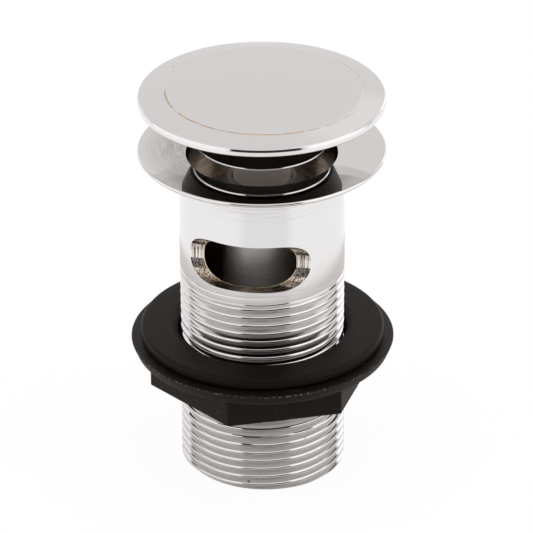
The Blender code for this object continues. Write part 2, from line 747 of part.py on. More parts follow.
def back_nut():
    """Plastic hexagon nut with a round flange on top."""
    nut = hexagon("back_nut", NUT_FLATS, 0, NUT_HEIGHT - NUT_FLANGE / 2, PARTS)
    nut.location.z = NUT_BOTTOM
    nut.rotation_euler.z = NUT_ANGLE - math.pi / 2
    flange_bottom = NUT_HEIGHT - NUT_FLANGE
    flange = [
        (NUT_FLANGE_RADIUS, NUT_HEIGHT),
        (NUT_FLANGE_RADIUS - NUT_FLANGE_TAPER, flange_bottom),
        (NUT_BORE_RADIUS, flange_bottom),
        (NUT_BORE_RADIUS, NUT_HEIGHT),
    ]
    join(nut, turned("nut_flange", flange, OUTER_STEPS, NUT_BOTTOM, CUTTERS))
    bore = [
        (NUT_BORE_RADIUS + 2 * NUT_BORE_CHAMFER, NUT_HEIGHT + NUT_BORE_CHAMFER),
        (NUT_BORE_RADIUS, NUT_HEIGHT - NUT_BORE_CHAMFER),
        (NUT_BORE_RADIUS, NUT_BORE_CHAMFER),
        (NUT_BORE_RADIUS + 2 * NUT_BORE_CHAMFER, -NUT_BORE_CHAMFER),
    ]
    profile = [(0, NUT_HEIGHT + NUT_BORE_CHAMFER), *bore, (0, -NUT_BORE_CHAMFER)]
    cut(nut, turned("nut_bore", profile, OUTER_STEPS, NUT_BOTTOM, CUTTERS))
    return nut


# Build: each body's empty lies on the axis, and its pieces hang on it
waste_axis = body_axis("waste_axis")
plug_axis = body_axis("plug_axis")
index_axis = body_axis("index_axis")
washer_axis = body_axis("tail_washer_axis")
nut_axis = body_axis("back_nut_axis")

settle(waste_body(), "chrome", waste_axis)
settle(cartridge_housing(), "satin_steel", waste_axis)
settle(guide_bush(), "grey_plastic", waste_axis)
settle(wiper_ring(), "black_rubber", waste_axis)
settle(ring_circlip(), "spring_steel", waste_axis)
settle(thrust_washer("upper_thrust_washer", UPPER_THRUST_HEIGHT), "white_acetal", waste_axis)
settle(thrust_washer("lower_thrust_washer", LOWER_THRUST_HEIGHT), "white_acetal", waste_axis)
settle(cartridge_base(), "brass", waste_axis)
settle(lock_washer(), "fibre", waste_axis)
settle(lock_nut(), "brass", waste_axis)
settle(index_ring(), "white_acetal", index_axis)
for pin_number in range(PIN_COUNT):
    settle(index_pin(pin_number), "spring_steel", index_axis)
settle(return_spring(), "spring_steel", plug_axis)
settle(plunger(), "satin_steel", plug_axis)
settle(cap_stud(), "brass", plug_axis)
settle(retaining_disc(), "chrome", plug_axis)
settle(plug_seal(), "black_rubber", plug_axis)
settle(seal_carrier(), "grey_plastic", plug_axis)
settle(cap_gasket(), "black_rubber", plug_axis)
settle(cap(), "chrome", plug_axis)
settle(tail_washer(), "black_rubber", washer_axis)
settle(back_nut(), "black_plastic", nut_axis)
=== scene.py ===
# %% [markdown]
# # Pop-up basin waste
#
# A basin waste is the fitting in a basin's outlet hole. This one has a low chrome cap on a push plunger,
# a rubber cone that closes the mouth, a chromed brass body with overflow slots and a threaded tail, and
# a rubber washer with a black plastic nut that pull it tight under the basin.
#
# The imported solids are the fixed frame: they say where everything is and what moves with what. The
# pieces below are finer versions of them, made for the eye, and each one rides on its own body.

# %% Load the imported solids
import json
import math

import bmesh
import bpy
from mathutils import Matrix, Vector

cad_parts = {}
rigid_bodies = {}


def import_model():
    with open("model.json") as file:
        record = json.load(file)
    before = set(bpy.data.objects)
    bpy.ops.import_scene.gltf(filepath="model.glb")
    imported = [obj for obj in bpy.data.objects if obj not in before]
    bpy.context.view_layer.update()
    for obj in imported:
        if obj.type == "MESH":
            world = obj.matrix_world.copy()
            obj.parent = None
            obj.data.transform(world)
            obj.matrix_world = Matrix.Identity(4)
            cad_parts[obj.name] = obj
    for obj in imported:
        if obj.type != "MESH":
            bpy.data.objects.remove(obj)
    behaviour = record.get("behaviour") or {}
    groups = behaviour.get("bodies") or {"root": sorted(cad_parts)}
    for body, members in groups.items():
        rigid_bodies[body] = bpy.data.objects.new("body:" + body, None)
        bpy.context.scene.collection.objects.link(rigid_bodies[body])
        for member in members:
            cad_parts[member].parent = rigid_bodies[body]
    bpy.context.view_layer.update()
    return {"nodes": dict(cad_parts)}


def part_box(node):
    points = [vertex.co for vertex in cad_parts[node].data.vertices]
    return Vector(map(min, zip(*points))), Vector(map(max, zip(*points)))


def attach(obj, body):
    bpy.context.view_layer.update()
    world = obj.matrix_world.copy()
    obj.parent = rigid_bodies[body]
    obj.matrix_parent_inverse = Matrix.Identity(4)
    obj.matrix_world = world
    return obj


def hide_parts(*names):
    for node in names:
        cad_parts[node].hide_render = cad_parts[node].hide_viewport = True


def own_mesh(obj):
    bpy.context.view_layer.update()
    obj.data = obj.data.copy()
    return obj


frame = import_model()
nodes = frame["nodes"]

# %% [markdown]
# ## Sizes
#
# The frame gives most sizes: a helper reads a solid's radius and its two heights from its box, so a fine
# piece always fills the same room as the plain solid it stands for. Only what the solids don't have,
# such as the thread's form, is written here.

# %% Read sizes from the solids
MM = 0.001
THREAD_PITCH = 2.309 * MM
THREAD_RADIUS = 20.955 * MM
THREAD_TOP = 56.2 * MM
THREAD_ROUNDING = 0.40 * MM
THREAD_HALF_ANGLE = math.radians(27.5)
CREST_FLAT_ANGLE = math.radians(17)
SLOT_ANGLE = math.radians(-12.0)
SLOT_MIDDLE = 63.95 * MM
SLOT_HEIGHT = 12.7 * MM
SLOT_EDGE = 5.7 * MM
SLOT_FLOOR = 14.2 * MM


def reach(node):
    """Outer radius, bottom and top of a solid that is round about Z."""
    low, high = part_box(node)
    return max(high.x, high.y), low.z, high.z


FLANGE, _, body_top = reach("waste_body")
print("body: flange radius", round(FLANGE / MM, 2), "mm, height", round(body_top / MM, 2), "mm")

# %% [markdown]
# ## Turned pieces
#
# Nearly everything here comes off a lathe, so it is one profile spun round Z. A real turned edge is
# never knife sharp: each corner of a profile carries its own small radius, and the helper swaps the
# corner for an arc. That thin arc is what catches the light along every rim.
# The Screw modifier does the spinning. With no screw height it is a plain revolve.

# %% Profile corners and the lathe
def rounded_profile(corners, closed):
    """Swap each (radius, height, fillet) corner for an arc of that fillet."""
    points = []
    count = len(corners)
    for index, (radius, height, fillet) in enumerate(corners):
        corner = Vector((radius, height))
        at_end = not closed and index in (0, count - 1)
        if fillet == 0 or at_end:
            points.append(corner)
            continue
        before = Vector(corners[index - 1][:2]) - corner
        after = Vector(corners[(index + 1) % count][:2]) - corner
        half = before.angle(after) / 2
        share = 0.49 if fillet < MM else 0.68
        back = min(fillet / math.tan(half), before.length * share, after.length * share)
        true_fillet = back * math.tan(half)
        start = corner + before.normalized() * back
        end = corner + after.normalized() * back
        middle = (before.normalized() + after.normalized()).normalized()
        centre = corner + middle * (true_fillet / math.sin(half))
        steps = 6 if fillet < MM else 12
        first = start - centre
        sweep = first.angle_signed(end - centre)
        for step in range(steps + 1):
            turned_by = -sweep * step / steps
            cos, sin = math.cos(turned_by), math.sin(turned_by)
            points.append(centre + Vector((first.x * cos - first.y * sin, first.x * sin + first.y * cos)))
    return points


def new_object(name, mesh):
    """Put a mesh in the scene under a name."""
    piece = bpy.data.objects.new(name, mesh)
    bpy.context.scene.collection.objects.link(piece)
    return piece


def made_mesh(piece):
    """A piece's mesh with its modifiers applied."""
    bpy.context.view_layer.update()
    depsgraph = bpy.context.evaluated_depsgraph_get()
    return bpy.data.meshes.new_from_object(piece.evaluated_get(depsgraph))


def apply_modifiers(piece):
    """Keep what a piece's modifiers make of it, and drop them."""
    mesh = made_mesh(piece)
    piece.modifiers.clear()
    piece.data = mesh
    return piece


def object_from(shape, name):
    """Turn a bmesh into an object and free it."""
    mesh = bpy.data.meshes.new(name)
    shape.to_mesh(mesh)
    shape.free()
    return new_object(name, mesh)


def settle(piece):
    """Apply a piece's modifiers and its place, so that its object sits at the origin."""
    mesh = made_mesh(piece)
    mesh.transform(piece.matrix_world)
    piece.modifiers.clear()
    piece.data = mesh
    piece.matrix_world = Matrix.Identity(4)
    mesh.name = piece.name
    return piece


def turn_faces_out(piece):
    """Merge a mesh's doubles and point its faces outwards."""
    shape = bmesh.new()
    shape.from_mesh(piece.data)
    bmesh.ops.remove_doubles(shape, verts=shape.verts, dist=0.000001)
    bmesh.ops.dissolve_degenerate(shape, edges=shape.edges, dist=0.000001)
    bmesh.ops.recalc_face_normals(shape, faces=shape.faces)
    shape.to_mesh(piece.data)
    shape.free()
    return piece


def in_mm(*corners):
    """Profile corners given in millimetres."""
    return [tuple(value * MM for value in corner) for corner in corners]


def lathe(name, corners, steps=160, closed=True):
    """Spin a profile about Z and return the finished piece."""
    points = rounded_profile(corners, closed)
    outline = bpy.data.meshes.new(name)
    edges = [(index, index + 1) for index in range(len(points) - 1)]
    if closed:
        edges.append((len(points) - 1, 0))
    outline.from_pydata([(point.x, 0, point.y) for point in points], edges, [])
    piece = new_object(name, outline)
    spin = piece.modifiers.new("spin", "SCREW")
    spin.steps = steps
    spin.render_steps = steps
    spin.use_merge_vertices = True
    spin.merge_threshold = 0.000001
    settle(piece)
    return turn_faces_out(piece)


def smooth(piece, degrees=30):
    """Shade a piece smooth, with its edges above an angle kept sharp."""
    piece.data.shade_smooth()
    piece.data.set_sharp_from_angle(angle=math.radians(degrees))
    return piece


def keep_faces_flat(piece):
    """Let big faces set the shading, so that a thread's flanks stay flat between their rounded edges."""
    weighted = piece.modifiers.new("flat flanks", "WEIGHTED_NORMAL")
    weighted.mode = "FACE_AREA"
    weighted.weight = 100
    weighted.keep_sharp = True
    return apply_modifiers(piece)


def coat(piece, finish):
    """Give a piece one finish all over."""
    piece.data.materials.clear()
    piece.data.materials.append(finish)


def count_triangles(piece):
    """Number of triangles in a piece."""
    piece.data.calc_loop_triangles()
    return len(piece.data.loop_triangles)


# %% [markdown]
# ## A small way of writing node trees
#
# Materials and Geometry Nodes trees are both made of nodes with sockets. This helper adds a node, sets
# its values and wires its inputs in one line, so that each tree below reads from its inputs to its end.

# %% Node helper
def put(tree, kind, inputs=(), **settings):
    """Add a node: settings are its properties, inputs are socket name or number with a value or a socket."""
    node = tree.nodes.new(kind)
    for name, value in settings.items():
        setattr(node, name, value)
    for name, value in dict(inputs).items():
        socket = node.inputs[name]
        if isinstance(value, bpy.types.NodeSocket):
            tree.links.new(value, socket)
        else:
            socket.default_value = value
    return node


def maths(tree, operation, first, second=0.0):
    """One Math node, returning its result."""
    return put(tree, "ShaderNodeMath", {0: first, 1: second}, operation=operation).outputs[0]


def shorthand(operation):
    """A function that adds one Math node of this kind and returns its result."""
    return lambda tree, first, second: maths(tree, operation, first, second)


times, plus, minus = shorthand("MULTIPLY"), shorthand("ADD"), shorthand("SUBTRACT")
over, larger, smaller = shorthand("DIVIDE"), shorthand("MAXIMUM"), shorthand("MINIMUM")


def toward(tree, value, share, other):
    """value moved towards other by a share between 0 and 1."""
    return put(tree, "ShaderNodeMix", {"Factor": share, 2: value, 3: other}, data_type="FLOAT").outputs[0]


def own_place(tree):
    """The piece's own coordinates."""
    return put(tree, "ShaderNodeTexCoord").outputs["Object"]


def stretch(tree, value, low, high, to_low=0.0, to_high=1.0):
    """Map Range with clamping, returning its result."""
    node = put(tree, "ShaderNodeMapRange", {"Value": value, "From Min": low, "From Max": high,
                                            "To Min": to_low, "To Max": to_high})
    return node.outputs["Result"]


def new_group(name, kind, inputs, outputs):
    """A node group with its sockets, and its input and output nodes."""
    tree = bpy.data.node_groups.new(name, kind)
    for socket_name, socket_type, value in inputs:
        socket = tree.interface.new_socket(name=socket_name, in_out="INPUT", socket_type=socket_type)
        if value is not None:
            socket.default_value = value
    for socket_name, socket_type in outputs:
        tree.interface.new_socket(name=socket_name, in_out="OUTPUT", socket_type=socket_type)
    return tree, tree.nodes.new("NodeGroupInput"), tree.nodes.new("NodeGroupOutput")


# %% [markdown]
# ## Marks that several finishes share
#
# Turning leaves fine lines that run round the axis. On a wall they lie above each other, on a face they
# are rings. The group feeds a noise with the distance from the axis and the height, stretched far more
# than the way round, so the grain becomes long thin lines. It works on the piece's own coordinates.

# %% Shader group: lines of the lathe
turning_lines, group_in, group_out = new_group(
    "turning lines", "ShaderNodeTree",
    [("Lines per metre", "NodeSocketFloat", 3000.0), ("Way round", "NodeSocketFloat", 1.5)],
    [("Lines", "NodeSocketFloat")])
place = put(turning_lines, "ShaderNodeSeparateXYZ",
            {0: own_place(turning_lines)})
axis_x, axis_y, axis_z = place.outputs
squares = plus(turning_lines, times(turning_lines, axis_x, axis_x),
               times(turning_lines, axis_y, axis_y))
from_axis = larger(turning_lines, maths(turning_lines, "SQRT", squares), 0.0001)
round_x = times(turning_lines, over(turning_lines, axis_x, from_axis), group_in.outputs[1])
round_y = times(turning_lines, over(turning_lines, axis_y, from_axis), group_in.outputs[1])
line_place = put(turning_lines, "ShaderNodeCombineXYZ", {
    0: round_x, 1: round_y, 2: times(turning_lines, from_axis, group_in.outputs[0])})
line_noise = put(turning_lines, "ShaderNodeTexNoise", {
    "Vector": line_place.outputs[0], "W": times(turning_lines, axis_z, group_in.outputs[0]),
    "Scale": 1.0, "Detail": 3.0, "Roughness": 0.6}, noise_dimensions="4D")
turning_lines.links.new(line_noise.outputs[0], group_out.inputs[0])
print("group", turning_lines.name)

# %% [markdown]
# Dust, pits and scuffs are all the same idea: a noise that is cut off high, so only its peaks are left as
# small marks. The cut decides how many there are.

# %% Shader group: scattered marks
scattered_marks, group_in, group_out = new_group(
    "scattered marks", "ShaderNodeTree",
    [("Scale", "NodeSocketFloat", 900.0), ("Cut", "NodeSocketFloat", 0.68),
     ("Softness", "NodeSocketFloat", 0.03), ("Stretch", "NodeSocketVector", (1.0, 1.0, 1.0))],
    [("Marks", "NodeSocketFloat")])
stretched = put(scattered_marks, "ShaderNodeVectorMath", {
    0: own_place(scattered_marks), 1: group_in.outputs["Stretch"]},
                operation="MULTIPLY")
mark_noise = put(scattered_marks, "ShaderNodeTexNoise", {
    "Vector": stretched.outputs[0], "Scale": group_in.outputs["Scale"], "Detail": 2.0, "Roughness": 0.5})
mark_top = plus(scattered_marks, group_in.outputs["Cut"], group_in.outputs["Softness"])
scattered_marks.links.new(stretch(scattered_marks, mark_noise.outputs[0], group_in.outputs["Cut"], mark_top),
                          group_out.inputs[0])
print("group", scattered_marks.name)

# %% [markdown]
# Some marks have a place of their own, such as a speck on the cap. One small group draws a round spot
# about a point, and its axes say whether the height counts.

# %% Shader group: one spot
one_spot, group_in, group_out = new_group(
    "one spot", "ShaderNodeTree",
    [("Centre", "NodeSocketVector", (0.0, 0.0, 0.0)), ("Radius", "NodeSocketFloat", 0.0003),
     ("Axes", "NodeSocketVector", (1.0, 1.0, 1.0))],
    [("Spot", "NodeSocketFloat")])
off_centre = put(one_spot, "ShaderNodeVectorMath", {
    0: own_place(one_spot), 1: group_in.outputs["Centre"]}, operation="SUBTRACT")
kept_axes = put(one_spot, "ShaderNodeVectorMath", {0: off_centre.outputs[0], 1: group_in.outputs["Axes"]},
                operation="MULTIPLY")
spot_distance = put(one_spot, "ShaderNodeVectorMath", {0: kept_axes.outputs[0]}, operation="LENGTH")
spot_core = times(one_spot, group_in.outputs["Radius"], 0.5)
spot_reach = group_in.outputs["Radius"]
spot_level = stretch(one_spot, spot_distance.outputs["Value"], spot_core, spot_reach, 1.0, 0.0)
one_spot.links.new(spot_level, group_out.inputs[0])
print("group", one_spot.name)

# %% [markdown]
# ## Finishes
#
# Each finish is one Principled material. Its constant values stand on the shader's own sockets, and the
# groups drive only what changes over the surface: colour, roughness and the height of a bump.

# %% Material helper
def lines_of(tree, per_metre, way_round):
    """The turning-lines group in a material, returning its value."""
    return put(tree, "ShaderNodeGroup", {"Lines per metre": per_metre, "Way round": way_round},
               node_tree=turning_lines).outputs[0]


def marks_of(tree, scale, cut, softness=0.03, stretch_by=(1.0, 1.0, 1.0)):
    """The scattered-marks group in a material, returning its value."""
    inputs = {"Scale": scale, "Cut": cut, "Softness": softness, "Stretch": stretch_by}
    return put(tree, "ShaderNodeGroup", inputs, node_tree=scattered_marks).outputs[0]


def spots_of(tree, spots, axes=(1.0, 1.0, 1.0)):
    """Several spots, each with its centre in millimetres, its radius in millimetres and its strength."""
    total = 0.0
    for centre, radius, strength in spots:
        inputs = {"Centre": [value * MM for value in centre], "Radius": radius * MM, "Axes": axes}
        spot = put(tree, "ShaderNodeGroup", inputs, node_tree=one_spot).outputs[0]
        total = larger(tree, total, times(tree, spot, strength))
    return total


def noise_of(tree, place, scale, detail, roughness=0.5):
    """A noise texture at a place, returning its value."""
    inputs = {"Vector": place, "Scale": scale, "Detail": detail, "Roughness": roughness}
    return put(tree, "ShaderNodeTexNoise", inputs).outputs[0]


def place_of(tree):
    """The piece's own x, y and z, and the distance from its axis."""
    x, y, z = put(tree, "ShaderNodeSeparateXYZ", {0: own_place(tree)}).outputs
    squares = plus(tree, times(tree, x, x), times(tree, y, y))
    return x, y, z, maths(tree, "SQRT", squares)


def band(tree, value, low, high, soft):
    """1 between low and high, with soft edges, and 0 outside."""
    return times(tree, stretch(tree, value, low - soft, low),
                 stretch(tree, value, high, high + soft, 1.0, 0.0))


def ramp(tree, value, stops):
    """A grey ramp through (position, level) stops, returning the level."""
    node = put(tree, "ShaderNodeValToRGB", {0: value})
    elements = node.color_ramp.elements
    for number, (position, level) in enumerate(stops):
        element = elements[number] if number < 2 else elements.new(position)
        element.position = position
        element.color = (level, level, level, 1.0)
    return put(tree, "ShaderNodeSeparateColor", {0: node.outputs[0]}).outputs[0]


def blend_colour(tree, share, first, second):
    """Mix two colours by a share between 0 and 1."""
    node = put(tree, "ShaderNodeMix", {"Factor": share}, data_type="RGBA")
    for number, value in ((6, first), (7, second)):
        if isinstance(value, bpy.types.NodeSocket):
            tree.links.new(value, node.inputs[number])
        else:
            node.inputs[number].default_value = (*value, 1.0)
    return node.outputs[2]


def new_finish(name, metallic, colour, roughness):
    """A Principled material with its plain values set. Returns the material, its tree and its shader."""
    material = bpy.data.materials.new(name)
    material.use_nodes = True
    shader = material.node_tree.nodes["Principled BSDF"]
    shader.inputs["Metallic"].default_value = metallic
    shader.inputs["Base Color"].default_value = (*colour, 1.0)
    shader.inputs["Roughness"].default_value = roughness
    return material, material.node_tree, shader


def drive(shader, name, value):
    """Let a node's result drive one of the shader's inputs."""
    shader.id_data.links.new(value, shader.inputs[name])


def driver_of(shader, name):
    """The result that drives an input so far, to build the next mark on."""
    return shader.inputs[name].links[0].from_socket


def add_bump(tree, shader, height, distance):
    """Drive the shader's normal with a height."""
    bump = put(tree, "ShaderNodeBump", {"Height": height, "Distance": distance, "Strength": 1.0})
    drive(shader, "Normal", bump.outputs[0])


# %% [markdown]
# Chrome is bright nickel-grey plating over the turned brass. Buffing hides most of the lathe's lines, so
# they are left as the faintest ripple, with a few pits and specks.

# %% Chrome
def chrome_finish(name, roughness, ripple, colour=(0.80, 0.788, 0.788), lines=2600.0, way_round=1.2,
                  cut=0.79):
    """Chrome plating, with how rough it is and how far the lathe's lines still show."""
    material, tree, shader = new_finish(name, 1.0, colour, roughness)
    lines_here = lines_of(tree, lines, way_round)
    specks = marks_of(tree, 420.0, cut, 0.02)
    drive(shader, "Roughness", stretch(tree, lines_here, 0.35, 0.75, roughness, roughness * 2.2))
    drive(shader, "Base Color", blend_colour(tree, specks, colour, (0.30, 0.26, 0.22)))
    add_bump(tree, shader, lines_here, ripple)
    return material, tree, shader


chrome, _, _ = chrome_finish("chrome plating", 0.05, 0.0000012)
bore_metal, _, _ = chrome_finish("thinly plated bore", 0.20, 0.0000100, colour=(0.20, 0.15, 0.115),
                                 lines=1100.0, way_round=3.0)
cap_underside, _, _ = chrome_finish("cap underside", 0.12, 0.0000030, colour=(0.60, 0.585, 0.57),
                                    lines=1200.0)

# %% [markdown]
# Plating reaches the bottom of a thread's groove last and no wheel polishes it, so the roots stay dull.
# Just above the washer the front is painted dark, a painted reflection of the black washer, and the roots
# there are painted dark all round as painted shade.

# %% Chrome of the thread
chrome_thread, tree, shader = chrome_finish("chrome thread", 0.06, 0.0000010, lines=5200.0, way_round=3.0)
thread_x, thread_y, thread_z, thread_radius = place_of(tree)
in_root = stretch(tree, thread_radius, 19.86 * MM, 19.93 * MM, 1.0, 0.0)
# Painted reflection and painted shade of the black washer: just above it the front and the roots all round
# are painted dark.
washer_shade_band = band(tree, thread_z, 40.0 * MM, 42.5 * MM, 4.5 * MM)
washer_reflection_front = times(tree, band(tree, thread_x, -3.5 * MM, 4.5 * MM, 4.0 * MM),
             stretch(tree, thread_y, -18.0 * MM, -14.0 * MM, 1.0, 0.0))
plated = driver_of(shader, "Base Color")
polish = driver_of(shader, "Roughness")
painted_washer_reflection = times(tree, times(tree, washer_shade_band, washer_reflection_front), 0.55)
plated = blend_colour(tree, painted_washer_reflection, plated, (0.14, 0.125, 0.115))
# Roots are dull plating, and just above the washer they are painted dark as painted shade.
root_colour = blend_colour(tree, washer_shade_band, (0.66, 0.635, 0.625), (0.16, 0.145, 0.135))
drive(shader, "Base Color", blend_colour(tree, in_root, plated, root_colour))
drive(shader, "Roughness", plus(tree, polish, times(tree, in_root, 0.42)))

# %% [markdown]
# The buffing wheel didn't reach the corners under the flange and above the thread, so a few fine streaks
# of the lathe stay there on the front of the plain wall.

# %% Chrome of the plain wall
chrome_wall, tree, shader = chrome_finish("chrome wall", 0.05, 0.0000012)
_, wall_y, wall_z, _ = place_of(tree)
under_flange = times(tree, stretch(tree, wall_z, 76.5 * MM, 82.5 * MM), 0.8)
over_thread = stretch(tree, wall_z, 56.6 * MM, 58.8 * MM, 1.0, 0.0)
unpolished = times(tree, larger(tree, under_flange, over_thread),
                   stretch(tree, wall_y, -20.5 * MM, -14.0 * MM, 1.0, 0.25))
streak = stretch(tree, lines_of(tree, 7000.0, 1.6), 0.50, 0.64)
wall_marks = spots_of(tree, [((19.6, -7.4, 76.0), 0.35, 0.7), ((-16.6, -12.8, 65.0), 0.4, 0.5)])
wall_dark = larger(tree, times(tree, times(tree, streak, unpolished), 0.85), wall_marks)
plated = driver_of(shader, "Base Color")
drive(shader, "Base Color", blend_colour(tree, wall_dark, plated, (0.30, 0.27, 0.26)))

# %% [markdown]
# The flange was brushed in place, mostly on one side: dense concentric streaks. They are also painted darker
# towards the mouth, as painted shade under the cap.

# %% Chrome of the flange
chrome_flange, tree, shader = chrome_finish("chrome flange", 0.025, 0.0000005, colour=(0.78, 0.768, 0.762),
                                            lines=2200.0)
flange_x, flange_y, _, flange_radius = place_of(tree)
flange_side = plus(tree, flange_x, times(tree, flange_y, -0.15))
on_left = stretch(tree, flange_side, -24.0 * MM, -6.0 * MM, 1.0, 0.0)
# Painted shade under the cap: darker towards the mouth.
painted_shade_near_mouth = stretch(tree, flange_radius, 21.5 * MM, 30.5 * MM, 1.0, 0.0)
brush_line = stretch(tree, lines_of(tree, 4200.0, 5.0), 0.38, 0.62)
brushed_and_painted_shade = times(tree, times(tree, on_left, painted_shade_near_mouth),
                plus(tree, 0.35, times(tree, brush_line, 0.65)))
plated = driver_of(shader, "Base Color")
drive(shader, "Base Color", blend_colour(tree, brushed_and_painted_shade, plated, (0.36, 0.345, 0.335)))
drive(shader, "Roughness", plus(tree, 0.028, times(tree, brushed_and_painted_shade, 0.12)))

# %% [markdown]
# The bush on top of the cartridge is moulded in dark satin, so its cone stays even where chrome would
# show the whole mouth.

# %% Dark satin of the bush
dark_satin, tree, shader = new_finish("dark satin", 0.0, (0.30, 0.275, 0.27), 0.42)
add_bump(tree, shader, lines_of(tree, 3000.0, 1.5), 0.0000015)
dull_underside, _, _ = new_finish("dull underside", 0.0, (0.060, 0.050, 0.044), 0.50)

# %% [markdown]
# The cap was buffed through along a ring where its flat middle meets the slope. The ring is drawn a
# little off centre, thin, tan and broken up by noise, as a wheel leaves it.

# %% Cap finish
cap_chrome, tree, shader = chrome_finish("cap chrome", 0.05, 0.0000003, lines=1500.0, way_round=4.0, cut=0.82)
RUB_RADIUS = 25.1 * MM
RUB_CENTRE = 0.9 * MM
cap_x, cap_y, _, _ = place_of(tree)
rub_x = minus(tree, cap_x, RUB_CENTRE)
rub_squares = plus(tree, times(tree, rub_x, rub_x), times(tree, cap_y, cap_y))
off_ring = maths(tree, "ABSOLUTE", minus(tree, maths(tree, "SQRT", rub_squares), RUB_RADIUS))

# How far the ring is rubbed through, going once round from the back over the right side and the front
way_round_ring = maths(tree, "ARCTAN2", times(tree, rub_x, -1.0), times(tree, cap_y, -1.0))
share_round_ring = plus(tree, times(tree, way_round_ring, 1 / math.tau), 0.5)
rubbed = ramp(tree, share_round_ring, [
    (0.08, 0.0), (0.17, 0.75), (0.23, 0.15), (0.30, 0.10), (0.37, 0.60), (0.47, 0.90), (0.60, 1.0),
    (0.72, 1.0), (0.745, 0.85), (0.76, 0.0)])
ring_width = times(tree, plus(tree, 0.12, times(tree, rubbed, 0.18)), MM)
ring_line = stretch(tree, over(tree, off_ring, ring_width), 0.55, 1.15, 1.0, 0.0)
cap_grain = noise_of(tree, own_place(tree), 300.0, 3.0)
ring_mask = times(tree, times(tree, ring_line, rubbed),
                  stretch(tree, cap_grain, 0.38, 0.54, 0.15, 1.0))
ring_tan = stretch(tree, cap_grain, 0.42, 0.62)
ring_colour = blend_colour(tree, ring_tan, (0.34, 0.20, 0.11), (0.74, 0.53, 0.32))
CAP_SPECKS = [
    ((-22.35, 14.5, 0), 0.32, 0.9), ((-13.9, -0.4, 0), 0.25, 0.35), ((-4.6, 0.2, 0), 0.22, 0.3),
    ((-0.6, 1.8, 0), 0.22, 0.3), ((3.15, -5.2, 0), 0.22, 0.35), ((-25.9, -9.9, 0), 0.25, 0.4)]
cap_specks = spots_of(tree, CAP_SPECKS, axes=(1.0, 1.0, 0.0))
specked = driver_of(shader, "Base Color")
dusty_cap = blend_colour(tree, cap_specks, specked, (0.22, 0.17, 0.13))
drive(shader, "Base Color", blend_colour(tree, ring_mask, dusty_cap, ring_colour))
print("cap ring of radius", round(RUB_RADIUS / MM, 1), "mm")

# %% [markdown]
# A form cutter opened the slots after turning. It leaves upright tool marks on the bare brass that the
# plating barely covered, so this metal is warmer, rougher and striped along the height, with brown stains
# low down and a bright burr along the inner edge.

# %% Milled slot faces
milled, tree, shader = new_finish("milled slot", 1.0, (0.78, 0.73, 0.66), 0.14)
_, _, mill_z, mill_radius = place_of(tree)
milled_place = put(tree, "ShaderNodeVectorMath", {0: own_place(tree), 1: (2100.0, 2100.0, 70.0)},
                   operation="MULTIPLY")
stripe = stretch(tree, noise_of(tree, milled_place.outputs[0], 1.0, 3.0, 0.7), 0.40, 0.50)
stain = noise_of(tree, own_place(tree), 420.0, 2.0)
low_down = stretch(tree, mill_z, SLOT_MIDDLE - 5.0 * MM, SLOT_MIDDLE - 2.5 * MM, 1.0, 0.10)
stained = times(tree, low_down, stretch(tree, stain, 0.36, 0.60, 0.45, 1.0))
plain_mill = blend_colour(tree, stripe, (0.16, 0.11, 0.07), (0.92, 0.89, 0.85))
brown_mill = blend_colour(tree, stripe, (0.06, 0.035, 0.02), (0.50, 0.38, 0.26))
mill_colour = blend_colour(tree, stained, plain_mill, brown_mill)
burr_broken = stretch(tree, stain, 0.38, 0.50, 0.35, 1.0)
burr = times(tree, stretch(tree, mill_radius, 18.64 * MM, 18.72 * MM, 1.0, 0.0), burr_broken)
drive(shader, "Base Color", blend_colour(tree, burr, mill_colour, (1.0, 0.84, 0.60)))
rough_here = stretch(tree, stripe, 0.0, 1.0, 0.25, 0.08)
drive(shader, "Roughness", larger(tree, rough_here, times(tree, burr, 0.55)))
add_bump(tree, shader, stripe, 0.000014)

# %% [markdown]
# The rest are simpler: satin steel for the housing, a pale warm satin for the plunger whose brightness and
# warm tint are partly painted bounce light from the brown bore, brass inside, black rubber with faint
# moulding rings, black plastic with a fine grain and light scuffs along its rim, and grey plastic.

# %% Steel, brass and plastics
def satin_finish(name, colour, roughness, ripple, lines, metallic=1.0):
    """A turned satin finish whose lines vary its colour and roughness a little."""
    material, tree, shader = new_finish(name, metallic, colour, roughness)
    lines_here = lines_of(tree, lines, 1.5)
    darker = tuple(value * 0.78 for value in colour)
    drive(shader, "Base Color", blend_colour(tree, stretch(tree, lines_here, 0.3, 0.7), darker, colour))
    drive(shader, "Roughness", stretch(tree, lines_here, 0.3, 0.7, roughness * 0.85, roughness * 1.15))
    add_bump(tree, shader, lines_here, ripple)
    return material


satin_steel = satin_finish("satin steel", (0.84, 0.80, 0.775), 0.50, 0.0000020, 6000.0, metallic=0.6)
# The plunger's pale, warm colour is partly painted light: a painted warm bounce from the brown bore, on a
# satin finish.
plunger_satin_painted_bounce = satin_finish("plunger satin with painted bounce", (0.92, 0.83, 0.76), 0.50, 0.0000010, 3000.0, metallic=0.0)
spring_steel = satin_finish("spring steel", (0.42, 0.42, 0.43), 0.28, 0.0000020, 4000.0)
brass = satin_finish("turned brass", (0.72, 0.55, 0.28), 0.26, 0.0000040, 5000.0)
grey_plastic = satin_finish("grey plastic", (0.060, 0.056, 0.053), 0.38, 0.0000040, 2500.0, metallic=0.0)
white_acetal = satin_finish("white acetal", (0.75, 0.74, 0.71), 0.40, 0.0000020, 1500.0, metallic=0.0)
fibre = satin_finish("pressed fibre", (0.35, 0.12, 0.07), 0.80, 0.0000150, 2200.0, metallic=0.0)

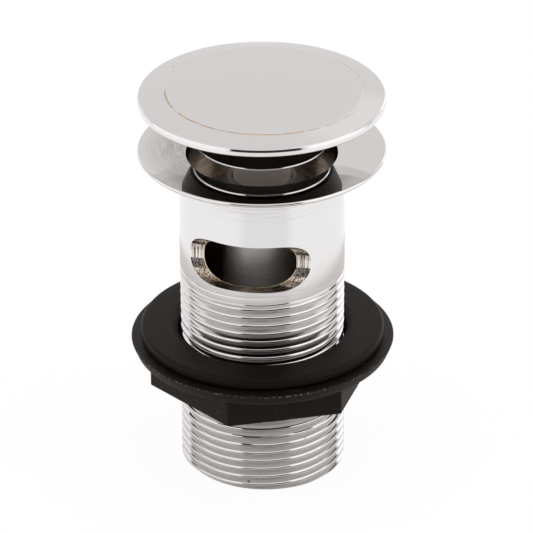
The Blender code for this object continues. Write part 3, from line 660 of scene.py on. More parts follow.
# %% Black rubber and black plastic
def black_finish(name, colour, roughness, shine, dust_colour, scuffed_edge=None):
    """Moulded black with faint rings, dust, and pale scuffs along an edge given by its radius and height."""
    material, tree, shader = new_finish(name, 0.0, colour, roughness)
    shader.inputs["Specular IOR Level"].default_value = shine
    shader.inputs["Specular Tint"].default_value = (1.0, 0.86, 0.77, 1.0)
    lines_here = lines_of(tree, 1500.0, 2.0)
    grain = noise_of(tree, own_place(tree), 2600.0, 2.0)
    marks = times(tree, marks_of(tree, 900.0, 0.745, 0.02), 0.5)
    if scuffed_edge:
        edge_radius, edge_height = scuffed_edge
        _, _, height_here, radius_here = place_of(tree)
        on_edge = times(tree, band(tree, radius_here, edge_radius - 0.30 * MM, edge_radius, 0.15 * MM),
                        band(tree, height_here, edge_height - 0.40 * MM, edge_height, 0.12 * MM))
        scuffs = times(tree, times(tree, on_edge, marks_of(tree, 1500.0, 0.54, 0.08)), 0.8)
        marks = larger(tree, marks, scuffs)
        scratches = marks_of(tree, 500.0, 0.66, 0.03, stretch_by=(0.25, 1.0, 2.2))
        marks = larger(tree, marks, times(tree, scratches, 0.10))
    drive(shader, "Base Color", blend_colour(tree, marks, colour, dust_colour))
    drive(shader, "Roughness", stretch(tree, lines_here, 0.3, 0.7, roughness * 0.9, roughness * 1.1))
    height = plus(tree, times(tree, lines_here, 0.3), times(tree, grain, 0.5))
    add_bump(tree, shader, height, 0.000010)
    return material


black_rubber = black_finish("black rubber", (0.0088, 0.0064, 0.0048), 0.46, 0.13, (0.10, 0.09, 0.08))
black_plastic = black_finish("black plastic", (0.0105, 0.0076, 0.0060), 0.44, 0.20, (0.16, 0.14, 0.13),
                             scuffed_edge=(33.75 * MM, 34.8 * MM))
print(len(bpy.data.materials), "materials")

# %% [markdown]
# ## The thread
#
# A G 1 1/4 pipe thread follows an exact rule: 55 degree flanks, crest and root rounded alike, and one
# pitch climbed in each turn. Here the rounding is a little more than the rule's, as plating leaves it,
# and the crests keep two narrow flats from the die. A rule like that suits Geometry Nodes. The tree
# starts from a flat grid, one column for each step round and ten rows for each turn, and sets each point
# by the rule. The rows climb with the helix, so crest and root are clean unbroken lines, and rows that
# would pass an end are held on it. The same tree makes the tail's thread and the tap for the nut's.

# %% Geometry Nodes: helical thread
tree, group_in, group_out = new_group(
    "helical thread", "GeometryNodeTree",
    [("Geometry", "NodeSocketGeometry", None), ("Pitch", "NodeSocketFloat", THREAD_PITCH),
     ("Crest radius", "NodeSocketFloat", THREAD_RADIUS), ("Rounding", "NodeSocketFloat", THREAD_ROUNDING),
     ("Bottom", "NodeSocketFloat", 0.0), ("Top", "NodeSocketFloat", THREAD_TOP),
     ("Run-out", "NodeSocketFloat", 1.6 * THREAD_PITCH), ("End chamfer", "NodeSocketFloat", 0.12 * MM),
     ("Inner radius", "NodeSocketFloat", 18.5 * MM), ("Top radius", "NodeSocketFloat", THREAD_RADIUS),
     ("Turns", "NodeSocketInt", 26), ("Steps round", "NodeSocketInt", 160),
     ("Material", "NodeSocketMaterial", None)],
    [("Geometry", "NodeSocketGeometry")])
asked = {socket.name: socket for socket in group_in.outputs}
ROWS_A_TURN = 10
row_total = times(tree, asked["Turns"], ROWS_A_TURN)
grid = put(tree, "GeometryNodeMeshGrid", {
    "Size X": 1.0, "Size Y": 1.0,
    "Vertices X": plus(tree, asked["Steps round"], 1),
    "Vertices Y": plus(tree, row_total, 3)})
grid_place = put(tree, "GeometryNodeInputPosition").outputs[0]
spot = put(tree, "ShaderNodeSeparateXYZ", {0: grid_place})
share_round = plus(tree, spot.outputs[0], 0.5)
row = maths(tree, "ROUND", times(tree, plus(tree, spot.outputs[1], 0.5),
                                 plus(tree, row_total, 2)))
is_first = maths(tree, "LESS_THAN", row, 0.5)
is_last = maths(tree, "GREATER_THAN", row, plus(tree, row_total, 1.5))
angle = times(tree, share_round, math.tau)

# The cutter backs out near the top, so the groove gets shallower and narrower there and the crests wider
half_turns = times(tree, minus(tree, row, 1.0), 2.0 / ROWS_A_TURN)
about_turns = plus(tree, times(tree, half_turns, 0.5),
                   minus(tree, share_round, 1.0))
about_height = plus(tree, asked["Bottom"], times(tree, about_turns, asked["Pitch"]))


def backed_out(height):
    """How far the cutter is backed out at a height, between 0 and 1."""
    below_top = minus(tree, asked["Top"], height)
    inputs = {"Value": below_top, "From Min": 0.0, "From Max": asked["Run-out"], "To Min": 1.0, "To Max": 0.0}
    return put(tree, "ShaderNodeMapRange", inputs, interpolation_type="SMOOTHSTEP").outputs["Result"]


# Rows stand close together on crest and root, and far apart on the straight flanks between them
half_arc = times(tree, asked["Rounding"], math.cos(THREAD_HALF_ANGLE))
arc_share = over(tree, half_arc, asked["Pitch"])
whole = maths(tree, "FLOOR", plus(tree, half_turns, 0.0001))
within = minus(tree, half_turns, whole)
flank_share = minus(tree, 0.5, times(tree, arc_share, 2.0))
land_share = plus(tree, arc_share, times(tree, backed_out(about_height),
                                         times(tree, flank_share, 0.98)))
from_root = maths(tree, "FLOORED_MODULO", whole, 2.0)
first_share = toward(tree, land_share, from_root, arc_share)
last_share = toward(tree, arc_share, from_root, land_share)
middle_share = minus(tree, minus(tree, 0.5, first_share), last_share)
on_first = times(tree, stretch(tree, within, 0.0, 0.4), first_share)
on_last = times(tree, stretch(tree, within, 0.6, 1.0), last_share)
on_flank = times(tree, stretch(tree, within, 0.4, 0.6), middle_share)
row_phase = plus(tree, plus(tree, on_first, on_last),
                 plus(tree, on_flank, times(tree, whole, 0.5)))

# Height climbs one pitch a turn and is held between the two ends
turns_up = plus(tree, minus(tree, row_phase, 1.0), share_round)
free_height = plus(tree, asked["Bottom"], times(tree, turns_up, asked["Pitch"]))
height = smaller(tree, larger(tree, free_height, asked["Bottom"]), asked["Top"])

# Distance along the axis from the nearest crest gives how deep the groove is there
phase = minus(tree, over(tree, height, asked["Pitch"]), share_round)
start_phase = over(tree, asked["Bottom"], asked["Pitch"])
phase = minus(tree, phase, start_phase)
to_crest = maths(tree, "ABSOLUTE", minus(tree, phase, maths(tree, "ROUND", phase)))
off_crest = times(tree, to_crest, asked["Pitch"])
off_root = minus(tree, times(tree, asked["Pitch"], 0.5), off_crest)


def arc_drop(distance):
    """How far a rounded crest has fallen at a distance from its middle, held beyond the arc."""
    held = smaller(tree, distance, half_arc)
    rounding_squared = times(tree, asked["Rounding"], asked["Rounding"])
    under = minus(tree, rounding_squared, times(tree, held, held))
    return minus(tree, asked["Rounding"], maths(tree, "SQRT", under))


def crest_drop(distance):
    """The same for a crest that the die left as two narrow flats, one to each side, with bevels."""
    held = smaller(tree, distance, half_arc)
    chord_slope = (1 - math.sin(THREAD_HALF_ANGLE)) * 2 / math.cos(THREAD_HALF_ANGLE)
    bevel_slope = chord_slope - math.tan(CREST_FLAT_ANGLE)
    to_flank = times(tree, minus(tree, half_arc, held), bevel_slope)
    return larger(tree, times(tree, held, math.tan(CREST_FLAT_ANGLE)),
                  minus(tree, arc_drop(half_arc), to_flank))


flank_length = times(tree, flank_share, asked["Pitch"])
past_arc = minus(tree, off_crest, half_arc)
along_flank = smaller(tree, larger(tree, past_arc, 0.0), flank_length)
flank_drop = over(tree, along_flank, math.tan(THREAD_HALF_ANGLE))
root_drop = minus(tree, arc_drop(half_arc), arc_drop(off_root))
depth = plus(tree, plus(tree, crest_drop(off_crest), flank_drop), root_drop)

# The backed-out cutter goes less deep, and a chamfer takes off the first turn's corner
full_depth = plus(tree, times(tree, arc_drop(half_arc), 2.0),
                  over(tree, flank_length, math.tan(THREAD_HALF_ANGLE)))
cut_depth = minus(tree, depth, times(tree, backed_out(height), full_depth))
groove = minus(tree, asked["Crest radius"], larger(tree, cut_depth, 0.0))
chamfer_radius = plus(tree, minus(tree, asked["Crest radius"], asked["End chamfer"]),
                      minus(tree, height, asked["Bottom"]))
radius = smaller(tree, groove, chamfer_radius)

# The first and last rows are plain circles that the rest of the piece joins
radius = toward(tree, radius, is_first, asked["Inner radius"])
radius = toward(tree, radius, is_last, asked["Top radius"])
height = toward(tree, height, is_first, asked["Bottom"])
height = toward(tree, height, is_last, asked["Top"])
spun = put(tree, "ShaderNodeCombineXYZ", {
    0: times(tree, radius, maths(tree, "COSINE", angle)),
    1: times(tree, radius, maths(tree, "SINE", angle)), 2: height})
placed = put(tree, "GeometryNodeSetPosition", {"Geometry": grid.outputs[0], "Position": spun.outputs[0]})
welded = put(tree, "GeometryNodeMergeByDistance", {"Geometry": placed.outputs[0], "Distance": 0.000001})
painted = put(tree, "GeometryNodeSetMaterial", {
    "Geometry": put(tree, "GeometryNodeRealizeInstances", {"Geometry": welded.outputs[0]}).outputs[0],
    "Material": asked["Material"]})
tree.links.new(painted.outputs[0], group_out.inputs[0])
thread_tree = tree
print("thread tree of", len(tree.nodes), "nodes")


# %% Run a Geometry Nodes tree once and keep its mesh
def grown(name, tree, values):
    """A new piece made by a tree, with the tree's named inputs set before it first runs."""
    piece = new_object(name, bpy.data.meshes.new(name))
    modifier = piece.modifiers.new("grow", "NODES")
    modifier.node_group = tree
    for item in tree.interface.items_tree:
        if item.in_out == "INPUT" and item.name in values:
            modifier[item.identifier] = values[item.name]
    apply_modifiers(piece)
    piece.data.name = name
    return piece


# %% [markdown]
# ## Waste body
#
# The body is one turned brass piece: flange, plain wall, threaded tail and bore. The lathe makes all but
# the thread, as an open shell that starts and ends on the circles where the thread's own rows start and
# end, so the two weld into one closed skin. The flange's top slopes gently to a chamfered mouth.

# %% Turn the body and weld its thread on
BORE = 18.5 * MM
WALL = 21.0 * MM
MOUTH = 19.25 * MM
MOUTH_TOP = 86.8 * MM
SEAT = 84.4 * MM
STEPS = 160

body_corners = [
    (BORE, 0.0, 0),
    (BORE, MOUTH_TOP - 1.667 * MM, 0.3 * MM),
    (MOUTH, MOUTH_TOP, 0.12 * MM),
    (FLANGE - 0.35 * MM, body_top, 0.30 * MM),
    (FLANGE, body_top - 0.45 * MM, 0.40 * MM),
    (FLANGE - 0.10 * MM, body_top - 0.95 * MM, 0.25 * MM),
    (26.5 * MM, SEAT, 0.8 * MM),
    (WALL, SEAT, 1.2 * MM),
    (WALL, THREAD_TOP + 0.045 * MM, 0),
    (THREAD_RADIUS, THREAD_TOP, 0),
]
waste = lathe("waste_body_turned", body_corners, steps=STEPS, closed=False)
tail = grown("tail_thread", thread_tree, {"Steps round": STEPS, "Material": chrome})
merged = bmesh.new()
merged.from_mesh(waste.data)
merged.from_mesh(tail.data)
bmesh.ops.remove_doubles(merged, verts=merged.verts, dist=0.000002)
bmesh.ops.recalc_face_normals(merged, faces=merged.faces)
open_edges = sum(1 for edge in merged.edges if len(edge.link_faces) != 2)
merged.to_mesh(waste.data)
merged.free()
bpy.data.objects.remove(tail, do_unlink=True)
print("body before cutting:", count_triangles(waste), "triangles,", open_edges, "open edges")


# %% [markdown]
# A form cutter with rounded edges opened the overflow slots in one straight pass across each side. The
# round outline with its long ends, the smaller oval opening in the bore and the hollow faces between
# them all come from that pass, so the cutter's profile is pushed straight through the wall here too.
# A bridge across the bore, with a round hub, carries the cartridge.

# %% Cutting helpers
def cut_by(piece, tool, operation="DIFFERENCE", solver="MANIFOLD"):
    """Cut, join or intersect with a tool, and throw the tool away."""
    change = piece.modifiers.new(tool.name, "BOOLEAN")
    change.operation = operation
    change.solver = solver
    change.use_self = solver == "EXACT"
    change.object = tool
    apply_modifiers(piece)
    bpy.data.objects.remove(tool, do_unlink=True)


PASS_LENGTH = 34 * MM


def form_cutter(name):
    """The straight pass of the slot cutter, facing -Y: a round-edged profile pushed along X."""
    half = SLOT_HEIGHT / 2 - SLOT_EDGE
    profile = []
    for centre, start in ((half, 90), (-half, 180)):
        for step in range(17):
            turn = math.radians(start + 90 * step / 16)
            profile.append((SLOT_FLOOR + SLOT_EDGE + SLOT_EDGE * math.cos(turn),
                            centre + SLOT_EDGE * math.sin(turn)))
    profile += [(FLANGE, -SLOT_HEIGHT / 2), (FLANGE, SLOT_HEIGHT / 2)]
    shape = bmesh.new()
    ends = [[shape.verts.new((side, -out, up)) for out, up in profile]
            for side in (-PASS_LENGTH / 2, PASS_LENGTH / 2)]
    shape.faces.new(ends[0])
    shape.faces.new(list(reversed(ends[1])))
    for index in range(len(profile)):
        other = (index + 1) % len(profile)
        shape.faces.new((ends[0][index], ends[1][index], ends[1][other], ends[0][other]))
    bmesh.ops.recalc_face_normals(shape, faces=shape.faces)
    return object_from(shape, name)


# %% Mill the slots and add the bridge
for facing in (SLOT_ANGLE, SLOT_ANGLE + math.pi):
    cutter = form_cutter("form_cutter")
    cutter.data.transform(Matrix.Rotation(facing, 4, "Z"))
    cutter.data.transform(Matrix.Translation((0, 0, SLOT_MIDDLE)))
    cut_by(waste, cutter)

HUB_TOP = 44.2 * MM
HUB_BOTTOM = 38.0 * MM
HUB_RADIUS = 8.5 * MM
HUB_HOLE = 4.3 * MM
hub = lathe("bridge_hub", [(HUB_RADIUS, HUB_TOP, 0.4 * MM), (HUB_RADIUS, HUB_BOTTOM, 0.4 * MM),
                           (HUB_HOLE, HUB_BOTTOM, 0.3 * MM), (HUB_HOLE, HUB_TOP, 0.3 * MM)], steps=96)
bar_shape = bmesh.new()
bmesh.ops.create_cube(bar_shape, size=1.0, matrix=Matrix.Diagonal((2 * BORE + 1.5 * MM, 7 * MM, 5 * MM, 1)))
long_edges = [edge for edge in bar_shape.edges if abs(edge.verts[0].co.x - edge.verts[1].co.x) > MM]
bmesh.ops.bevel(bar_shape, geom=long_edges, offset=0.8 * MM, segments=4, profile=0.5, affect="EDGES")
bar = object_from(bar_shape, "bridge_bar")
hub_middle = Matrix.Translation((0, 0, (HUB_TOP + HUB_BOTTOM) / 2))
bar.data.transform(hub_middle @ Matrix.Rotation(SLOT_ANGLE, 4, "Z"))
hub_hole = lathe("hub_hole", [(0, HUB_TOP + MM, 0), (HUB_HOLE, HUB_TOP + MM, 0),
                              (HUB_HOLE, HUB_BOTTOM - MM, 0), (0, HUB_BOTTOM - MM, 0)],
                 steps=96, closed=False)
cut_by(bar, hub_hole)
cut_by(waste, bar, "UNION")
cut_by(waste, hub, "UNION")
print("body after cutting:", count_triangles(waste), "triangles")


# %% [markdown]
# Bare metal, plating and thread look different on the real body, so its faces are sorted by where they
# lie: slot faces on the mill's path, the bore, the flange, the thread, and the plain wall.

# %% Give the body's faces their finishes
def slot_face(middle):
    """Whether a point lies on the surface that the form cutter left."""
    up = abs(middle.z - SLOT_MIDDLE)
    if up > SLOT_HEIGHT / 2 + 0.05 * MM:
        return False
    out = abs(middle.x * math.sin(SLOT_ANGLE) - middle.y * math.cos(SLOT_ANGLE))
    past_straight = max(up - (SLOT_HEIGHT / 2 - SLOT_EDGE), 0.0)
    before_straight = SLOT_FLOOR + SLOT_EDGE - out
    if before_straight < 0:
        return up > SLOT_HEIGHT / 2 - 0.05 * MM
    return abs(math.hypot(past_straight, before_straight) - SLOT_EDGE) < 0.06 * MM


def body_finish(polygon):
    """Number of the finish for one face of the body."""
    middle = polygon.center
    radius = math.hypot(middle.x, middle.y)
    faces_axis = abs(polygon.normal.x * middle.x + polygon.normal.y * middle.y) > 0.97 * radius
    if not faces_axis and all(slot_face(waste.data.vertices[number].co) for number in polygon.vertices):
        return 3
    if radius < BORE + 0.05 * MM:
        return 2
    if middle.z > SEAT - 0.1 * MM and radius > MOUTH:
        return 1
    if middle.z < THREAD_TOP:
        return 4
    return 0


waste.data.materials.clear()
for finish in (chrome_wall, chrome_flange, bore_metal, milled, chrome_thread):
    waste.data.materials.append(finish)
for polygon in waste.data.polygons:
    polygon.material_index = body_finish(polygon)
smooth(waste, 18)
keep_faces_flat(waste)
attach(waste, "waste")
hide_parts("waste_body")
print("slot faces:", sum(1 for polygon in waste.data.polygons if polygon.material_index == 3))


# %% [markdown]
# ## Pieces that the lathe makes alone
#
# Each entry is a profile with its corner radii, a finish, its body and the solid it stands for.

# %% Turned pieces of the plug and the cartridge
def turned_piece(name, corners, finish, body, node, steps=128, closed=True, sharp=30):
    """Make a lathe piece, finish it and set it riding."""
    piece = lathe(name, corners, steps, closed)
    coat(piece, finish)
    smooth(piece, sharp)
    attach(piece, body)
    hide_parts(node)
    print(name, count_triangles(piece), "triangles")
    return piece


cap_radius, _, cap_top = reach("cap")
rim_bottom = 100.8 * MM
rim_top = 102.85 * MM
shoulder_top = 104.0 * MM
cap = turned_piece("cap_dome", [
    (0, cap_top, 0),
    (12.6 * MM, cap_top - 0.15 * MM, 8 * MM),
    (25.2 * MM, shoulder_top, 5 * MM),
    (cap_radius - 0.44 * MM, rim_top, 0.08 * MM),
    (cap_radius - 0.24 * MM, rim_top - 0.20 * MM, 0.05 * MM),
    (cap_radius, rim_top - 0.74 * MM, 0.08 * MM),
    (cap_radius - 0.05 * MM, rim_bottom, 0.40 * MM),
    (cap_radius - 2.2 * MM, rim_bottom, 0.5 * MM),
    (25.2 * MM, shoulder_top - 1.7 * MM, 2 * MM),
    (7.0 * MM, cap_top - 1.7 * MM, 0.8 * MM),
    (7.0 * MM, 99.5 * MM, 0.3 * MM),
    (3.3 * MM, 99.5 * MM, 0.2 * MM),
    (3.3 * MM, 102.1 * MM, 0.2 * MM),
    (0, 102.1 * MM, 0),
], cap_chrome, "plug", "cap", steps=192, closed=False)
cap.data.materials.append(cap_underside)
for polygon in cap.data.polygons:
    within_rim = math.hypot(polygon.center.x, polygon.center.y) < cap_radius - 2 * MM
    if polygon.normal.z < -0.2 or (within_rim and polygon.normal.z < 0.3):
        polygon.material_index = 1

turned_piece("plug_seal_cone", in_mm(
    (11.8, 96.6, 0.1), (17.25, 96.6, 0.6), (19.05, 95.7, 0.5), (19.05, 94.8, 0.4),
    (17.25, 90.8, 0.25), (11.8, 90.8, 0.1)), black_rubber, "plug", "plug_seal", steps=160)

disc = turned_piece("retaining_disc_plate", in_mm(
    (15.6, 90.5, 0.3), (16.65, 90.32, 0.2), (16.65, 89.74, 0.25), (15.6, 89.6, 0.3),
    (3.3, 89.6, 0.1), (3.3, 90.5, 0.1)), chrome, "plug", "retaining_disc", steps=160)
disc.data.materials.append(dull_underside)
for polygon in disc.data.polygons:
    if polygon.normal.z < -0.7:
        polygon.material_index = 1

turned_piece("seal_carrier_core", in_mm(
    (14.8, 98.1, 0.3), (14.8, 96.9, 0.2), (11.5, 96.9, 0.2), (11.5, 90.8, 0.3),
    (3.3, 90.8, 0.2), (3.3, 98.1, 0.2)), grey_plastic, "plug", "seal_carrier")

turned_piece("guide_bush_gland", in_mm(
    (8.75, 80.3, 0.10), (12.5, 76.4, 0.15), (12.5, 75.6, 0.15), (10.3, 75.6, 0.05),
    (10.3, 76.5, 0.05), (8.7, 76.5, 0.1), (8.7, 71.0, 0.25), (7.65, 71.0, 0.2),
    (7.65, 77.175, 0.05), (9.4, 77.175, 0.05), (9.4, 79.225, 0.05), (7.65, 79.225, 0.05),
    (7.65, 80.3, 0.05)), dark_satin, "waste", "guide_bush")

turned_piece("cartridge_tube", in_mm(
    (10.0, 76.2, 0.3), (10.0, 47.2, 0.3), (7.65, 47.2, 0.2), (7.65, 62.9, 0.1),
    (9.0, 62.9, 0.1), (9.0, 69.4, 0.02), (9.4, 69.4, 0.02), (9.4, 71.0, 0.02),
    (9.0, 71.0, 0.02), (9.0, 76.2, 0.1)), satin_steel, "waste", "cartridge_housing", steps=160)

turned_piece("cartridge_base_plug", in_mm(
    (0, 59.2, 0), (3.1, 59.2, 0.9), (3.1, 50.2, 0.3), (7.35, 50.2, 0.3), (7.35, 46.9, 0.1),
    (10.0, 46.9, 0.3), (10.0, 44.5, 0.4), (4.0, 44.5, 0.3), (4.0, 29.2, 0.7), (0, 29.2, 0)),
             brass, "waste", "cartridge_base", closed=False)

turned_piece("lock_washer_ring", in_mm(
    (8.0, 37.7, 0.2), (8.0, 36.7, 0.2), (4.3, 36.7, 0.1), (4.3, 37.7, 0.1)),
             fibre, "waste", "lock_washer")

# %% [markdown]
# ## Plunger
#
# The plunger is a hollow rod with a closed zigzag groove that the index ring's pins run in. The groove is
# the path of a ball-ended cutter, so a round tube is bent along the zigzag and cut out of the rod.

# %% Turn the plunger and cut its track
plunger = lathe("plunger_rod", in_mm(
    (0, 83.0, 0), (3.3, 83.0, 0.2), (3.3, 89.3, 0.2), (7.35, 89.3, 0.3), (7.35, 58.6, 0.4),
    (5.2, 58.6, 0.3), (5.2, 81.4, 0.4), (0, 81.4, 0)), steps=128, closed=False)
PLUNGER_RADIUS = 7.35 * MM
TRACK_BOTTOM = 66.1 * MM
TRACK_RISE = 8.4 * MM
TRACK_CUTTER_RADIUS = 1.7 * MM
TRACK_LOOPS = 4
LEG_POINTS = 10
track_path = bpy.data.curves.new("track_cutter", "CURVE")
track_path.dimensions = "3D"
track_path.bevel_depth = TRACK_CUTTER_RADIUS
track_path.bevel_resolution = 6
track_path.twist_mode = "Z_UP"
track_line = track_path.splines.new("POLY")
track_line.points.add(2 * TRACK_LOOPS * LEG_POINTS - 1)
for number, point in enumerate(track_line.points):
    leg, step = divmod(number, LEG_POINTS)
    share = step / LEG_POINTS
    level = share if leg % 2 == 0 else 1 - share
    around = math.tau * number / len(track_line.points)
    point.co = (PLUNGER_RADIUS * math.cos(around), PLUNGER_RADIUS * math.sin(around),
                TRACK_BOTTOM + TRACK_RISE * level, 1)
track_line.use_cyclic_u = True
track_object = bpy.data.objects.new("track_cutter", track_path)
bpy.context.scene.collection.objects.link(track_object)
track = new_object("track_cutter_solid", made_mesh(track_object))
bpy.data.objects.remove(track_object, do_unlink=True)
turn_faces_out(track)
cut_by(plunger, track, solver="EXACT")
coat(plunger, plunger_satin_painted_bounce)
smooth(plunger)
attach(plunger, "plug")
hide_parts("plunger")
print("plunger", count_triangles(plunger), "triangles")

# %% [markdown]
# ## Return spring
#
# A compression spring is wire on a helix. Blender's Spiral makes the helix and Curve to Mesh gives it its
# wire. It rides with the plug.

# %% Geometry Nodes: spring
spring_tree, group_in, group_out = new_group(
    "compression spring", "GeometryNodeTree",
    [("Geometry", "NodeSocketGeometry", None), ("Radius", "NodeSocketFloat", 4.2 * MM),
     ("Wire radius", "NodeSocketFloat", 0.6 * MM), ("Foot", "NodeSocketFloat", 51.1 * MM),
     ("Height", "NodeSocketFloat", 29.4 * MM), ("Turns", "NodeSocketFloat", 8.0),
     ("Material", "NodeSocketMaterial", None)],
    [("Geometry", "NodeSocketGeometry")])
spiral = put(spring_tree, "GeometryNodeCurveSpiral", {
    "Resolution": 48, "Rotations": group_in.outputs["Turns"], "Start Radius": group_in.outputs["Radius"],
    "End Radius": group_in.outputs["Radius"], "Height": group_in.outputs["Height"]})
raised = put(spring_tree, "GeometryNodeTransform", {
    "Geometry": spiral.outputs[0],
    "Translation": put(spring_tree, "ShaderNodeCombineXYZ", {2: group_in.outputs["Foot"]}).outputs[0]})
wire_section = put(spring_tree, "GeometryNodeCurvePrimitiveCircle", {
    "Resolution": 16, "Radius": group_in.outputs["Wire radius"]})
wire = put(spring_tree, "GeometryNodeCurveToMesh", {
    "Curve": raised.outputs[0], "Profile Curve": wire_section.outputs[0], "Fill Caps": True})
finished = put(spring_tree, "GeometryNodeSetMaterial", {
    "Geometry": put(spring_tree, "GeometryNodeRealizeInstances", {"Geometry": wire.outputs[0]}).outputs[0],
    "Material": group_in.outputs["Material"]})
spring_tree.links.new(finished.outputs[0], group_out.inputs[0])
spring = grown("return_spring_wire", spring_tree, {"Material": spring_steel})
turn_faces_out(spring)
smooth(spring, 45)
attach(spring, "plug")
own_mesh(spring)
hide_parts("return_spring")
print("spring", count_triangles(spring), "triangles")

# %% [markdown]
# ## Lock nut
#
# A brass hexagon whose corners were turned off, which is exactly how it is made here: a six-sided bar and
# a turned blank, and only what both have in common is kept.

# %% Lock nut
def hexagon_bar(name, flats, bottom, top):
    """A six-sided bar about Z with a corner on +X."""
    shape = bmesh.new()
    corner = flats / 2 / math.cos(math.pi / 6)
    middle = Matrix.Translation((0, 0, (top + bottom) / 2))
    bmesh.ops.create_cone(shape, cap_ends=True, segments=6, radius1=corner, radius2=corner,
                          depth=top - bottom, matrix=middle @ Matrix.Rotation(math.pi / 6, 4, "Z"))
    return object_from(shape, name)


lock_nut = hexagon_bar("lock_nut_hexagon", 13 * MM, 30.4 * MM, 36.4 * MM)
blank = lathe("lock_nut_blank", in_mm(
    (6.4, 36.4, 0.1), (7.51, 35.8, 0.1), (7.51, 31.0, 0.1), (6.4, 30.4, 0.1), (4.3, 30.4, 0.2),
    (4.3, 36.4, 0.2)), steps=96)
cut_by(lock_nut, blank, "INTERSECT")
coat(lock_nut, brass)
smooth(lock_nut)
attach(lock_nut, "waste")
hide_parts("lock_nut")
print("lock nut", count_triangles(lock_nut), "triangles")

# %% [markdown]
# ## Tail washer
#
# Moulded black rubber: soft outer edges and a chamfer round the bore.

# %% Tail washer
washer_radius, washer_bottom, washer_top = reach("tail_washer")
turned_piece("tail_washer_ring", [
    (23.25 * MM, washer_top, 0.3 * MM),
    (washer_radius, washer_top, 0.9 * MM),
    (washer_radius, washer_bottom, 0.9 * MM),
    (21.75 * MM, washer_bottom, 0.2 * MM),
    (21.75 * MM, washer_top - 0.8 * MM, 0.3 * MM),
], black_rubber, "washer", "tail_washer", steps=192)

# %% [markdown]
# ## Back nut
#
# Injection-moulded black plastic: a hexagon with softly rounded corners under a round flange, with the
# tail's thread inside. The blank is joined from the two forms, and then a tap cuts it: the tail's own
# thread, a little larger, with the same start, so that the crests sit in the grooves.

# %% Back nut
NUT_FLATS = 51.1 * MM
NUT_TURNED_BY = math.radians(-107.5)
NUT_FLANGE_DEPTH = 2.9 * MM
NUT_FLANGE_TAPER = 1.2 * MM
TAP_ROOM = 0.25 * MM
TAP_FIRST_TURN = 9
TAP_LAST_TURN = 16
nut_radius, nut_bottom, nut_top = reach("back_nut")
nut = hexagon_bar("back_nut_hexagon", NUT_FLATS, nut_bottom, nut_top - 1.4 * MM)
nut.data.transform(Matrix.Rotation(NUT_TURNED_BY, 4, "Z"))
soft = nut.modifiers.new("soft corners", "BEVEL")
soft.width = 0.35 * MM
soft.segments = 4
apply_modifiers(nut)
nut_flange = lathe("back_nut_flange", [
    (0, nut_top, 0),
    (nut_radius, nut_top, 0.18 * MM),
    (nut_radius - NUT_FLANGE_TAPER, nut_top - NUT_FLANGE_DEPTH, 0.5 * MM),
    (0, nut_top - NUT_FLANGE_DEPTH, 0),
], steps=192, closed=False)
cut_by(nut, nut_flange, "UNION")
tap = grown("nut_tap", thread_tree, {
    "Steps round": 128, "Turns": 9, "Crest radius": THREAD_RADIUS + TAP_ROOM,
    "Bottom": TAP_FIRST_TURN * THREAD_PITCH, "Top": TAP_LAST_TURN * THREAD_PITCH, "Run-out": 0.5 * MM,
    "End chamfer": 0.0, "Inner radius": 0.0, "Top radius": 0.0, "Material": black_plastic})
turn_faces_out(tap)
for end, outward in ((nut_top, 1), (nut_bottom, -1)):
    wide_end, narrow_end = end + outward * MM, end - outward * 3 * MM
    countersink = lathe("countersink", [(0, wide_end, 0), (23.2 * MM, wide_end, 0),
                                        (19.2 * MM, narrow_end, 0), (0, narrow_end, 0)],
                        steps=128, closed=False)
    cut_by(nut, countersink)
cut_by(nut, tap)
nut.name = "back_nut_threaded"
nut.data.name = nut.name
coat(nut, black_plastic)
smooth(nut, 35)
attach(nut, "nut")
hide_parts("back_nut")
clear_radius = min(math.hypot(vertex.co.x, vertex.co.y) for vertex in nut.data.vertices)
print("back nut", count_triangles(nut), "triangles, clear to radius", round(clear_radius / MM, 2), "mm")

# %% [markdown]
# ## Small inner pieces
#
# The stud, pins, circlip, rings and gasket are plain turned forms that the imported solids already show
# well enough, so they only get their finishes.

# %% Finish the solids that stay
for node, finish in (
        ("wiper_ring", black_rubber), ("ring_circlip", spring_steel), ("upper_thrust_washer", white_acetal),
        ("lower_thrust_washer", white_acetal), ("index_ring", white_acetal), ("index_pin_1", spring_steel),
        ("index_pin_2", spring_steel), ("cap_stud", brass), ("cap_gasket", black_rubber)):
    for material_slot in nodes[node].material_slots:
        material_slot.material = finish
print("solids kept:", [name for name in nodes if not nodes[name].hide_render])

# %% [markdown]
# ## Floor and light
#
# Chrome shows nothing but its surroundings, so the light is a room of soft panels drawn in the world: a
# pale back that the cap and flange mirror, a greyer ceiling, a bright panel on each side, bright panels
# low in the back corners for the white edges of the wall, greyer patches above them for the wedges in the
# thread, and a dark gap in front that makes the thin black line along the cap's rim. The floor is white to
# the camera and still takes the piece's soft shadow. In reflections it carries a painted shadow of the
# piece, greyer and warmer close by, for the thread, and a dark strip ends it in front, below the dark gap.

# %% World
world = bpy.data.worlds.new("studio")
bpy.context.scene.world = world
world.use_nodes = True
tree = world.node_tree
tree.nodes.clear()
heading = put(tree, "ShaderNodeSeparateXYZ", {0: put(tree, "ShaderNodeTexCoord").outputs["Generated"]})
elevation = times(tree, maths(tree, "ARCSINE", heading.outputs[2]), 180 / math.pi)
front_to_back = times(tree, heading.outputs[1], -1.0)
azimuth = times(tree, maths(tree, "ARCTAN2", heading.outputs[0], front_to_back), 180 / math.pi)


def up_to(full, none):
    """1 at low elevations, fading to 0 between two of them."""
    return stretch(tree, elevation, full, none, 1.0, 0.0)


either_side = maths(tree, "ABSOLUTE", azimuth)
level = stretch(tree, elevation, 50.0, 85.0, 0.79, 0.54)
front_level = stretch(tree, elevation, 33.0, 40.0, 0.04, 0.90)

